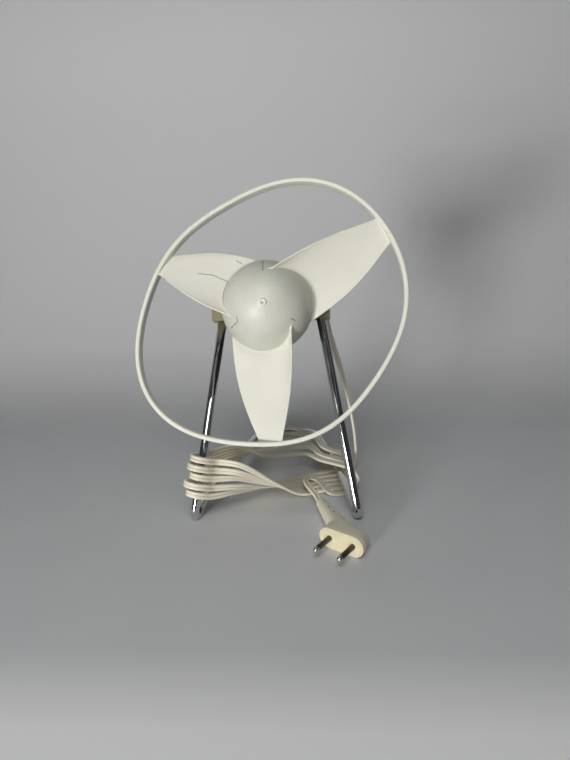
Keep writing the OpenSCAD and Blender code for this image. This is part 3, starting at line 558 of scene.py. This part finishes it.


# Urea resin, pressed: hard, half glossy, darkened to an olive cream as painted shade from the
# blades above, in uneven patches
tree = blank("urea_resin")
at = add(tree, "TexCoord", {}).outputs["Object"]
stain = add(tree, "TexNoise", {"Scale": 1 / (5 * MM), "Detail": 5, "Roughness": 0.65}, {"Vector": at})
grain = add(tree, "TexNoise", {"Scale": 1 / (0.4 * MM), "Detail": 2}, {"Vector": at})
tone = add(tree, "MixRGB", {"Color1": linear("#aba787"), "Color2": linear("#857f60")},
           {"Fac": stain.outputs["Fac"]})
relief = add(tree, "Bump", {"Strength": 0.12, "Distance": 0.05 * MM}, {"Height": grain.outputs["Fac"]})
resin = add(tree, "BsdfPrincipled", {"Roughness": 0.36, "IOR": 1.55},
            {"Base Color": tone.outputs[0], "Normal": relief.outputs[0]})
add(tree, "OutputMaterial", {}, {"Surface": resin.outputs[0]})

for side in ("left", "right"):
    block = eased(f"pivot_block_{side}", f"pivot_lug_{side}", width=0.0008)
    block.data.materials.append(bpy.data.materials["urea_resin"])
    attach(block, "stand")

# Strain relief
# A tapered rubber sleeve that guards the lead where it leaves the right block. It is moulded with
# shallow rings so that it bends evenly, and its spigot is pushed into the block's boss.

gland_r = 0.005
gland_tip_r = 0.0032
gland_edge = 0.0004
tip_edge_l = 0.0002
tip_edge_r = 0.0003
gland_rings = 6
gland_ring_depth = 0.0005
rings_from = 0.12
rings_to = 0.9
gland_steps = 60
gland_sides = 40
spigot_l = 0.004
spigot_r = 0.003
pinhole_r = 0.0001
merge_within = 1.5e-6

gland_profile = [
    (-spigot_l, pinhole_r), (-spigot_l, spigot_r), (0, spigot_r),
    (0, gland_r - gland_edge), (gland_edge, gland_r),
]
for n in range(3, gland_steps - 1):
    u = n / gland_steps
    wave = max(0, math.sin(2 * math.pi * gland_rings * u))
    ripple = wave ** 2 * gland_ring_depth if rings_from < u < rings_to else 0
    gland_profile.append((u * gland_l, gland_r + (gland_tip_r - gland_r) * u - ripple))
gland_profile += [
    (gland_l - tip_edge_l, gland_tip_r), (gland_l, gland_tip_r - tip_edge_r), (gland_l, pinhole_r),
]


def lathe(name, frame_of, profile, sides):
    """A turned piece: a half section of height and radius, spun round the z axis of a frame."""
    rings = [
        [frame_of @ Vector((r * math.cos(a), r * math.sin(a), z)) for z, r in profile]
        for a in (2 * math.pi * j / sides for j in range(sides))
    ]
    piece = skin(name, rings, closed=True)
    shape = bmesh.new()
    shape.from_mesh(piece.data)
    bmesh.ops.remove_doubles(shape, verts=shape.verts, dist=merge_within)
    bmesh.ops.recalc_face_normals(shape, faces=shape.faces)
    shape.to_mesh(piece.data)
    shape.free()
    return piece


# Soft rubber, moulded: matt, a little darker and yellower than the vinyl
tree = blank("cream_rubber")
at = add(tree, "TexCoord", {}).outputs["Object"]
bloom = add(tree, "TexNoise", {"Scale": 1 / (4 * MM), "Detail": 4}, {"Vector": at})
tone = add(tree, "MixRGB", {"Color1": linear("#d3cbb0"), "Color2": linear("#b9b08f")},
           {"Fac": bloom.outputs["Fac"]})
rubber = add(tree, "BsdfPrincipled", {"Roughness": 0.62, "IOR": 1.5}, {"Base Color": tone.outputs[0]})
add(tree, "OutputMaterial", {}, {"Surface": rubber.outputs[0]})

gland_frame = Matrix.Translation(gland_seat) @ gland_dir.to_track_quat("Z", "Y").to_matrix().to_4x4()
gland = lathe("strain_relief", gland_frame, gland_profile, gland_sides)
gland.data.materials.append(bpy.data.materials["cream_rubber"])
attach(gland, "stand")
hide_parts("cord_gland")

# Motor case
# Two cups of black phenolic, pressed in a mould, that meet behind the tilt pivots.
# Two long bolts from the back hold them together, and slots round the shaft let air through.

# Pressed phenolic: deep black with a dulled shine, and pale dust that settles on top
tree = blank("black_phenolic")
at = add(tree, "TexCoord", {}).outputs["Object"]
facing = add(tree, "SeparateXYZ", {}, {"Vector": add(tree, "NewGeometry", {}).outputs["Normal"]})
cloud = add(tree, "TexNoise", {"Scale": 1 / (8 * MM), "Detail": 5, "Roughness": 0.6}, {"Vector": at})
flecks = add(tree, "TexNoise", {"Scale": 1 / (0.6 * MM), "Detail": 3}, {"Vector": at})
lying = add(tree, "MapRange", {"From Min": 0.1, "From Max": 1, "To Max": 0.4}, {"Value": facing.outputs["Z"]})
dust = add(tree, "Math", {"operation": "MULTIPLY"}, {0: lying.outputs[0], 1: cloud.outputs["Fac"]})
tone = add(tree, "MixRGB", {"Color1": linear("#1a1a1c"), "Color2": linear("#6c6961")},
           {"Fac": dust.outputs[0]})
worn = add(tree, "MapRange", {"From Min": 0.3, "From Max": 0.7, "To Min": 0.28, "To Max": 0.5},
           {"Value": cloud.outputs["Fac"]})
relief = add(tree, "Bump", {"Strength": 0.12, "Distance": 0.05 * MM}, {"Height": flecks.outputs["Fac"]})
phenolic = add(tree, "BsdfPrincipled", {"IOR": 1.6},
               {"Base Color": tone.outputs[0], "Roughness": worn.outputs[0], "Normal": relief.outputs[0]})
add(tree, "OutputMaterial", {}, {"Surface": phenolic.outputs[0]})

for half in ("front", "rear"):
    cup = eased(f"case_{half}", f"motor_cup_{half}", width=0.0004, segments=2)
    cup.data.materials.append(bpy.data.materials["black_phenolic"])
    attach(cup, "head")

# Bolts, pivots and washers
# Turned steel with a dull zinc finish: two case bolts, a shoulder screw in the left block, a hollow
# sleeve in the right one, and spring washers. The friction and thrust washers are red
# vulcanised fibre.

# Zinc-plated steel, turned: grey, with a soft shine that has clouded unevenly
tree = blank("zinc_plated_steel")
at = add(tree, "TexCoord", {}).outputs["Object"]
bloom = add(tree, "TexNoise", {"Scale": 1 / (2.5 * MM), "Detail": 4}, {"Vector": at})
tone = add(tree, "MixRGB", {"Color1": linear("#b4b6b6"), "Color2": linear("#7f7f7a")},
           {"Fac": bloom.outputs["Fac"]})
rough = add(tree, "MapRange", {"To Min": 0.25, "To Max": 0.5}, {"Value": bloom.outputs["Fac"]})
zinc = add(tree, "BsdfPrincipled", {"Metallic": 1},
           {"Base Color": tone.outputs[0], "Roughness": rough.outputs[0]})
add(tree, "OutputMaterial", {}, {"Surface": zinc.outputs[0]})

# Vulcanised fibre: matt red-brown with a papery mottle
tree = blank("vulcanised_fibre")
at = add(tree, "TexCoord", {}).outputs["Object"]
mottle = add(tree, "TexNoise", {"Scale": 1 / (0.7 * MM), "Detail": 4}, {"Vector": at})
tone = add(tree, "MixRGB", {"Color1": linear("#86492f"), "Color2": linear("#5c3322")},
           {"Fac": mottle.outputs["Fac"]})
fibre = add(tree, "BsdfPrincipled", {"Roughness": 0.7}, {"Base Color": tone.outputs[0]})
add(tree, "OutputMaterial", {}, {"Surface": fibre.outputs[0]})

for node, name in (("case_screws", "case_bolts"), ("pivot_screw_left", "shoulder_screw"),
                   ("pivot_sleeve_right", "pivot_sleeve")):
    turned = eased(node, name, width=0.0003, segments=2)
    turned.data.materials.append(bpy.data.materials["zinc_plated_steel"])
    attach(turned, "head")
dress("spring_washers", "zinc_plated_steel")
dress("friction_washers", "vulcanised_fibre")
dress("thrust_washers", "vulcanised_fibre")

# Motor
# A two-pole shaded motor: a stack of stamped steel sheets with two enamelled copper coils, and a
# squirrel-cage rotor on a ground shaft that runs in two sintered bronze sleeves.

# Stamped sheet stack: grey steel in fine dark lines, one to each half-millimetre sheet
tree = blank("laminated_steel")
at = add(tree, "TexCoord", {}).outputs["Object"]
head_tilt = math.radians(15)
shaft_way = Vector((0, -math.cos(head_tilt), math.sin(head_tilt)))
depth = add(tree, "VectorMath", {"operation": "DOT_PRODUCT", 1: shaft_way}, {0: at})
sheets = add(tree, "Math", {"operation": "PINGPONG", 1: 0.25 * MM}, {0: depth.outputs["Value"]})
line = add(tree, "MapRange", {"From Max": 0.1 * MM}, {"Value": sheets.outputs[0]})
tone = add(tree, "MixRGB", {"Color1": linear("#3a3a3c"), "Color2": linear("#8d8f92")},
           {"Fac": line.outputs[0]})
steel = add(tree, "BsdfPrincipled", {"Metallic": 1, "Roughness": 0.45}, {"Base Color": tone.outputs[0]})
add(tree, "OutputMaterial", {}, {"Surface": steel.outputs[0]})

# Enamelled copper wire: rounds of glossy red-brown, painted darker between the rounds and lighter
# on them as painted shade and highlight. They are drawn about 2 mm apart, coarser than the wire,
# so that they show
tree = blank("enamelled_copper")
at = add(tree, "TexCoord", {}).outputs["Object"]
rounds = add(tree, "TexWave", {"Scale": 1 / (6 * MM), "Distortion": 0.6, "bands_direction": "X"},
             {"Vector": at})
tone = add(tree, "MixRGB", {"Color1": linear("#6b2f14"), "Color2": linear("#b5652f")},
           {"Fac": rounds.outputs["Fac"]})
relief = add(tree, "Bump", {"Strength": 0.4, "Distance": 0.15 * MM}, {"Height": rounds.outputs["Fac"]})
copper = add(tree, "BsdfPrincipled", {"Metallic": 0.7, "Roughness": 0.35},
             {"Base Color": tone.outputs[0], "Normal": relief.outputs[0]})
add(tree, "OutputMaterial", {}, {"Surface": copper.outputs[0]})

# Sintered bronze: matt yellow-brown with open pores
tree = blank("sintered_bronze")
at = add(tree, "TexCoord", {}).outputs["Object"]
pores = add(tree, "TexVoronoi", {"Scale": 1 / (0.5 * MM)}, {"Vector": at})
tone = add(tree, "MixRGB", {"Color1": linear("#6e5330"), "Color2": linear("#b08a52")},
           {"Fac": pores.outputs["Distance"]})
bronze = add(tree, "BsdfPrincipled", {"Metallic": 1, "Roughness": 0.45}, {"Base Color": tone.outputs[0]})
add(tree, "OutputMaterial", {}, {"Surface": bronze.outputs[0]})

# Cast aluminium end rings: pale grey with a sandy skin
tree = blank("cast_aluminium")
at = add(tree, "TexCoord", {}).outputs["Object"]
sand = add(tree, "TexNoise", {"Scale": 1 / (0.8 * MM), "Detail": 4}, {"Vector": at})
tone = add(tree, "MixRGB", {"Color1": linear("#c3c5c7"), "Color2": linear("#94969a")},
           {"Fac": sand.outputs["Fac"]})
relief = add(tree, "Bump", {"Strength": 0.3, "Distance": 0.1 * MM}, {"Height": sand.outputs["Fac"]})
cast = add(tree, "BsdfPrincipled", {"Metallic": 1, "Roughness": 0.5},
           {"Base Color": tone.outputs[0], "Normal": relief.outputs[0]})
add(tree, "OutputMaterial", {}, {"Surface": cast.outputs[0]})

for node, material in (
    ("stator_core", "laminated_steel"), ("armature", "laminated_steel"),
    ("field_coil_left", "enamelled_copper"), ("field_coil_right", "enamelled_copper"),
    ("bearing_front", "sintered_bronze"), ("bearing_rear", "sintered_bronze"),
    ("hub_bush", "sintered_bronze"), ("cage_rings", "cast_aluminium"),
    ("motor_shaft", "zinc_plated_steel"), ("switch_body", "black_phenolic"),
):
    dress(node, material)

# Switch slider
# The thumb piece of the slide switch, pressed in cream resin, with ribs for the thumb.

slider = eased("switch_slider", "thumb_slider", width=0.0002, segments=2)
# the slider takes the same resin, darkened as painted shade
slider.data.materials.append(bpy.data.materials["urea_resin"])
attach(slider, "switch")

# Rotor
# Hub, three twisted blades and the ring round them, injected in one piece of soft cream vinyl.
# With age the ring has leaned, gone out of round and slid on the blades, and the roots have cracked.

head_at = Vector((0, leg_top.y, leg_top.z))
head_frame = Matrix.Translation(head_at) @ Matrix.Rotation(math.pi / 2 - head_tilt, 4, "X")
hub_r = 0.033
hub_wall = 0.002
rim_z = 0.030
rim_l = 0.002
bush_in = 0.0015
dome_z = rim_z + rim_l
bush_z = rim_z + bush_in
bush_l = 0.017
bush_r = 0.0045
hub_boss_r = 0.0075
nose_r = 0.0026
nose_rise = 0.0005
nose_hole_r = 0.0009
nose_hole_l = 0.0015
nose_edge = 0.0002
nose_skirt = 0.0008
hub_edge = 0.0003
axis_r = 1e-6
ring_z = 0.042
ring_r = 0.0938
ring_t = 0.0034
ring_w = 0.008
ring_soft = 0.0012
blade_t = 0.0018
tip_w = 0.016
tip_flare = 0.0008
flare_from = 0.9
tip_fore = 0.002
tip_aft = 0.003
root_lead = math.radians(53)
root_trail = math.radians(55)
root_rise = 0.022
root_low = 0.001
lead_swell = 0.0033
trail_swell = 0.005
blade_at = [math.radians(30 + 120 * i) for i in range(3)]
tip_creep = [math.radians(d) for d in (4.7, 2.7, 0)]
ring_lean = math.radians(8)
lean_towards = math.radians(121)
ring_waves = [(2, 0.0078, 41), (3, 0.0015, -45), (4, 0.001, 37), (5, 0.0014, 0)]
ring_slip = 0.0072
slip_towards = math.radians(-71)
lean = Matrix.Rotation(ring_lean, 3, Vector((-math.sin(lean_towards), math.cos(lean_towards), 0)))
ring_centre = Vector((ring_slip * math.cos(slip_towards), ring_slip * math.sin(slip_towards), ring_z))


def ring_at(a, out=0, fore=0):
    """A point of the ring, at an angle round it and offset outward and forward."""
    warp = sum(rise * math.cos(lobes * (a - math.radians(at))) for lobes, rise, at in ring_waves)
    r = ring_r + out + warp
    return ring_centre + lean @ Vector((r * math.cos(a), r * math.sin(a), fore))


def blade_root(a, v):
    """The root follows the dome from a high leading corner down to the rim."""
    z = root_low + root_rise * (1 - v) ** 2
    r = math.sqrt((hub_r - hub_wall / 2) ** 2 - z * z)
    b = a + root_lead * (1 - v) - root_trail * v
    return Vector((r * math.cos(b), r * math.sin(b), dome_z + z))


def blade_tip(a, v, flare):
    """The tip lies across the ring's band, and flares where it joins it."""
    half = (tip_w / 2 + flare) / ring_r
    return ring_at(a + half * (1 - 2 * v), 0, tip_fore * (1 - v) - tip_aft * v)


def blade_point(a, creep, u, v):
    """A point of a blade's middle sheet, u from root to tip and v from leading to trailing edge."""
    flare = tip_flare * (max(0, u - flare_from) / (1 - flare_from)) ** 2
    side = Vector((-math.sin(a), math.cos(a), 0))
    swell = side * (math.sin(math.pi * u) * (lead_swell * (1 - v) - trail_swell * v))
    return blade_root(a, v).lerp(blade_tip(a + creep, v, flare), u) + swell


def blade_normal(a, creep, u, v):
    """The way that the back of a blade faces, at a point of its middle sheet."""
    nudge = 0.001
    along = blade_point(a, creep, u + nudge, v) - blade_point(a, creep, u - nudge, v)
    across = blade_point(a, creep, u, v + nudge) - blade_point(a, creep, u, v - nudge)
    return along.cross(across).normalized()


edge_t = 0.001
edge_taper = 0.006
blade_rows = 64
blade_columns = 40
root_fillet = 0.001
root_fillet_to = 0.07
tip_fillet = 0.0012
tip_fillet_from = 0.95


def blade_half_thickness(a, creep, u, v):
    """Half the blade's thickness: rounded at its edges, filleted into the dome and the ring."""
    width = (blade_point(a, creep, u, 0) - blade_point(a, creep, u, 1)).length
    edge = max(0, 1 - min(v, 1 - v) * width / (edge_t / 2))
    fillet = root_fillet * max(0, 1 - u / root_fillet_to) ** 2
    fillet += tip_fillet * (max(0, u - tip_fillet_from) / (1 - tip_fillet_from)) ** 2
    thinned = edge_t + (blade_t - edge_t) * min(1, min(v, 1 - v) * width / edge_taper)
    return (thinned / 2 + fillet) * math.sqrt(max(0, 1 - edge * edge))


def eased_share(n, count):
    """Even steps from 0 to 1, closer together at both ends."""
    return (1 - math.cos(math.pi * n / count)) / 2


def blade_rings(a, creep):
    """Rings of points round a blade, from its root to its tip."""
    rings = []
    for u in (eased_share(n, blade_rows) for n in range(blade_rows + 1)):
        back = []
        front = []
        for v in (eased_share(n, blade_columns) for n in range(blade_columns + 1)):
            middle = blade_point(a, creep, u, v)
            off = blade_normal(a, creep, u, v) * blade_half_thickness(a, creep, u, v)
            back.append(middle + off)
            front.append(middle - off)
        rings.append(back + front[-2:0:-1])
    return rings


dome_steps = 40
hub_sides = 128
nose_angle = math.asin(nose_r / hub_r)
boss_angle = math.asin(hub_boss_r / (hub_r - hub_wall))
nose_top = dome_z + hub_r + nose_rise


def dome_arc(r, first, last):
    """Heights and radii along the dome, between two angles from its axis."""
    angles = [first + (last - first) * n / dome_steps for n in range(dome_steps + 1)]
    return [(dome_z + r * math.cos(b), r * math.sin(b)) for b in angles]


hub_profile = [
    (nose_top - nose_hole_l, axis_r), (nose_top - nose_hole_l, nose_hole_r),
    (nose_top - nose_edge, nose_hole_r), (nose_top, nose_hole_r + nose_edge),
    (nose_top, nose_r - hub_edge), (nose_top - nose_edge, nose_r),
]
hub_profile += dome_arc(hub_r, nose_angle, math.pi / 2)
hub_profile += [(rim_z + hub_edge, hub_r), (rim_z, hub_r - hub_edge), (rim_z, hub_r - hub_wall)]
hub_profile += dome_arc(hub_r - hub_wall, math.pi / 2, boss_angle)
hub_profile += [
    (bush_z, hub_boss_r), (bush_z, bush_r), (bush_z + bush_l, bush_r), (bush_z + bush_l, axis_r),
]

ring_steps = 240
corner_steps = 4
ring_outline = []
for quarter, (sx, sy) in enumerate(((1, 1), (-1, 1), (-1, -1), (1, -1))):
    for n in range(corner_steps + 1):
        a = math.pi / 2 * (quarter + n / corner_steps)
        ring_outline.append((sx * (ring_t / 2 - ring_soft) + ring_soft * math.cos(a),
                             sy * (ring_w / 2 - ring_soft) + ring_soft * math.sin(a)))

# cracks: on the left blade and at the tips by their place on the blade, and on the dome by angle
# and height
blade_cracks = [
    (1, [(0.46, 0.5), (0.26, 0.54), (0, 0.52)]), (1, [(0.01, 0.52), (0.01, 0.34), (0.01, 0.18)]),
    (1, [(0.18, 0.86), (0.06, 0.82)]), (1, [(0.98, 0.98), (1, 0.9)]), (1, [(0.9, 0.01), (0.88, 0.01)]),
    (0, [(0.985, 0.99), (1, 0.95)]),
]
dome_cracks = [
    [(204, 0.026), (213, 0.025), (213, 0.016)], [(93, 0.006), (90, 0.024)],
    [(330, 0.025), (330, 0.022)],
]


def dome_point(degrees, height):
    """A point of the dome, at an angle round it and a height."""
    r = math.sqrt(hub_r * hub_r - height * height)
    return Vector((r * math.cos(math.radians(degrees)), r * math.sin(math.radians(degrees)), dome_z + height))


def blade_front(i, u, v):
    """A point on the front of a blade."""
    place = (blade_at[i], tip_creep[i], u, v)
    return blade_point(*place) - blade_normal(*place) * blade_half_thickness(*place)


def finer(line, parts=4):
    """The places of a broken line and even steps between them."""
    steps = [(a, b, n / parts) for a, b in zip(line, line[1:]) for n in range(parts)]
    return [(a[0] + (b[0] - a[0]) * t, a[1] + (b[1] - a[1]) * t) for a, b, t in steps] + [line[-1]]


on_blades = [[blade_front(i, u, v) for u, v in finer(line)] for i, line in blade_cracks]
on_dome = [[dome_point(*place) for place in finer(line)] for line in dome_cracks]


def crack_shade_mask(tree, at, lines):
    """A mask of what lies within a hair of broken lines, which it shakes a little."""
    noise = add(tree, "TexNoise", {"Scale": 1 / (1.5 * MM), "Detail": 2}, {"Vector": at})
    shaken = add(tree, "VectorMath", {"operation": "MULTIPLY_ADD", 1: (1 * MM,) * 3},
                 {0: noise.outputs["Color"], 2: at}).outputs["Vector"]
    shift = Vector((0.5 * MM,) * 3)
    nearest = None
    for line in lines:
        for a, b in zip(line, line[1:]):
            a = head_frame @ a + shift
            way = head_frame @ b + shift - a
            off = add(tree, "VectorMath", {"operation": "SUBTRACT", 1: a}, {0: shaken}).outputs["Vector"]
            share = add(tree, "VectorMath", {"operation": "DOT_PRODUCT", 1: way / way.length_squared},
                        {0: off})
            held = add(tree, "Clamp", {}, {"Value": share.outputs["Value"]})
            along = add(tree, "VectorMath", {"operation": "SCALE", 0: way}, {"Scale": held.outputs[0]})
            gap = add(tree, "VectorMath", {"operation": "DISTANCE"}, {0: off, 1: along.outputs["Vector"]})
            gap = gap.outputs["Value"]
            if nearest:
                gap = add(tree, "Math", {"operation": "MINIMUM"}, {0: nearest, 1: gap}).outputs[0]
            nearest = gap
    return add(tree, "MapRange", {"From Min": 0.4 * MM, "From Max": 0.2 * MM, "To Max": 0.85},
               {"Value": nearest})


# Soft vinyl, injected: satin and slightly see-through, yellowed in wide clouds, with fine dark dirt
# and hairline cracks, drawn as dark lines of painted shade
tree = blank("rotor_vinyl")
at = add(tree, "TexCoord", {}).outputs["Object"]
cloud = add(tree, "TexNoise", {"Scale": 1 / (28 * MM), "Detail": 3}, {"Vector": at})
speck = add(tree, "TexNoise", {"Scale": 1 / (0.9 * MM), "Detail": 3, "Roughness": 0.6}, {"Vector": at})
tone = add(tree, "MixRGB", {"Color1": linear("#e4e3d8"), "Color2": linear("#d9d7c6")},
           {"Fac": cloud.outputs["Fac"]})
specks = add(tree, "MapRange", {"From Min": 0.68, "From Max": 0.8, "To Max": 0.35},
             {"Value": speck.outputs["Fac"]})
soiled = add(tree, "MixRGB", {"Color2": linear("#8f8a74")},
             {"Fac": specks.outputs[0], "Color1": tone.outputs[0]})
relief = add(tree, "Bump", {"Strength": 0.08, "Distance": 0.1 * MM}, {"Height": speck.outputs["Fac"]})
# painted shade: the hairline cracks are darkened along their lines
cracked = add(tree, "MixRGB", {"Color2": linear("#57503f")},
              {"Fac": crack_shade_mask(tree, at, on_blades).outputs[0], "Color1": soiled.outputs[0]})
vinyl = add(tree, "BsdfPrincipled", {"Roughness": 0.45, "IOR": 1.52, "Subsurface Weight": 0.1,
                                     "Subsurface Radius": (2 * MM, 1.6 * MM, 1 * MM)},
            {"Base Color": cracked.outputs[0], "Normal": relief.outputs[0]})
add(tree, "OutputMaterial", {}, {"Surface": vinyl.outputs[0]})

# The same vinyl over the hub, painted greyer than the blades as painted shade, with a fine sandy
# grain and dark crack lines of painted shade
tree = blank("hub_vinyl")
at = add(tree, "TexCoord", {}).outputs["Object"]
cloud = add(tree, "TexNoise", {"Scale": 1 / (14 * MM), "Detail": 4}, {"Vector": at})
grain = add(tree, "TexNoise", {"Scale": 1 / (0.7 * MM), "Detail": 4, "Roughness": 0.7}, {"Vector": at})
tone = add(tree, "MixRGB", {"Color1": linear("#d6d6ca"), "Color2": linear("#c3c3b6")},
           {"Fac": cloud.outputs["Fac"]})
specks = add(tree, "MapRange", {"From Min": 0.55, "From Max": 0.8, "To Max": 0.4},
             {"Value": grain.outputs["Fac"]})
soiled = add(tree, "MixRGB", {"Color2": linear("#7d7c70")},
             {"Fac": specks.outputs[0], "Color1": tone.outputs[0]})
relief = add(tree, "Bump", {"Strength": 0.15, "Distance": 0.1 * MM}, {"Height": grain.outputs["Fac"]})
cracked = add(tree, "MixRGB", {"Color2": linear("#4a463a")},
              {"Fac": crack_shade_mask(tree, at, on_dome).outputs[0], "Color1": soiled.outputs[0]})
vinyl = add(tree, "BsdfPrincipled", {"Roughness": 0.42, "IOR": 1.52},
            {"Base Color": cracked.outputs[0], "Normal": relief.outputs[0]})
add(tree, "OutputMaterial", {}, {"Surface": vinyl.outputs[0]})

rotor = lathe("soft_rotor", Matrix.Identity(4), hub_profile, hub_sides)
rotor.data.materials.append(bpy.data.materials["hub_vinyl"])
limbs = [skin(f"blade_{i}", blade_rings(a, creep)) for i, (a, creep) in enumerate(zip(blade_at, tip_creep))]
limbs.append(skin("ring", [
    [ring_at(2 * math.pi * n / ring_steps, x, y) for x, y in ring_outline] for n in range(ring_steps)
], closed=True))
shape = bmesh.new()
shape.from_mesh(rotor.data)
hub_faces = len(shape.faces)
for limb in limbs:
    shape.from_mesh(limb.data)
    bpy.data.objects.remove(limb)
for i, face in enumerate(shape.faces):
    nose = face.calc_center_median().z > nose_top - nose_skirt
    face.material_index = 1 if nose or i >= hub_faces else 0
bmesh.ops.recalc_face_normals(shape, faces=shape.faces)
shape.to_mesh(rotor.data)
shape.free()
rotor.data.materials.append(bpy.data.materials["rotor_vinyl"])
rotor.data.transform(head_frame)
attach(rotor, "rotor")
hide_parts("impeller")

# Studio
# A pale paper sweep that rises behind the fan, a soft lamp low at the front left, and a weak one
# above, in a dim room.

sweep_front = -2.5
sweep_back = 0.66
sweep_half = 2
sweep_top = 1.6
sweep_bend = 0.5
bend_steps = 16
bend_from = sweep_back - sweep_bend
grey_to_front = -0.225
white_in_front = -0.275
grey_to_back = 0.1
white_behind = 0.35
room_light = 0.15

outline = [(sweep_front, 0), (bend_from, 0)]
for n in range(1, bend_steps + 1):
    a = math.pi / 2 * n / bend_steps
    outline.append((bend_from + sweep_bend * math.sin(a), sweep_bend - sweep_bend * math.cos(a)))
outline.append((sweep_back, sweep_top))
mesh = bpy.data.meshes.new("paper_sweep")
mesh.from_pydata(
    [(x, y, z) for y, z in outline for x in (-sweep_half, sweep_half)], [],
    [(2 * i, 2 * i + 1, 2 * i + 3, 2 * i + 2) for i in range(len(outline) - 1)],
)
mesh.shade_smooth()
sweep = bpy.data.objects.new("paper_sweep", mesh)
scene.collection.objects.link(sweep)

# Matt seamless paper: pale grey where it lies, and painted lighter, up to white, towards the front
# and where it rises behind, as painted light
tree = blank("pale_paper")
at = add(tree, "TexCoord", {}).outputs["Object"]
fibre = add(tree, "TexNoise", {"Scale": 1 / (60 * MM), "Detail": 3}, {"Vector": at})
tone = add(tree, "MixRGB", {"Color1": linear("#d6d7d8"), "Color2": linear("#cfd0d1")},
           {"Fac": fibre.outputs["Fac"]})
depth = add(tree, "SeparateXYZ", {}, {"Vector": at})
# painted light: lighter towards the front and up the rise
front = add(tree, "MapRange", {"From Min": grey_to_front, "From Max": white_in_front},
            {"Value": depth.outputs["Y"]})
rising_light_paint = add(tree, "MapRange", {"From Min": grey_to_back, "From Max": white_behind},
           {"Value": depth.outputs["Y"]})
painted_light = add(tree, "Math", {"operation": "ADD"}, {0: front.outputs[0], 1: rising_light_paint.outputs[0]})
paper_with_painted_light = add(tree, "MixRGB", {"Color2": linear("#f6f6f6")},
            {"Fac": painted_light.outputs[0], "Color1": tone.outputs[0]})
paper = add(tree, "BsdfPrincipled", {"Roughness": 0.7, "Specular IOR Level": 0.3},
            {"Base Color": paper_with_painted_light.outputs[0]})
add(tree, "OutputMaterial", {}, {"Surface": paper.outputs[0]})
sweep.data.materials.append(bpy.data.materials["pale_paper"])

for name, place, aim, size, power in (
    ("front_lamp", (-0.5, -1.15, 0.11), (0, 0, 0.14), 0.2, 8.8),
    ("top_lamp", (0, -0.75, 0.9), (0, -0.4, 0), 0.5, 3.6),
):
    lamp = bpy.data.objects.new(name, bpy.data.lights.new(name, "AREA"))
    lamp.data.size = size
    lamp.data.energy = power
    lamp.location = place
    lamp.rotation_euler = (Vector(aim) - Vector(place)).to_track_quat("-Z", "Y").to_euler()
    scene.collection.objects.link(lamp)

scene.world = bpy.data.worlds.new("dim_room")
scene.world.use_nodes = True
room = scene.world.node_tree.nodes["Background"]
room.inputs["Color"].default_value = linear("#8a8c90")
room.inputs["Strength"].default_value = room_light
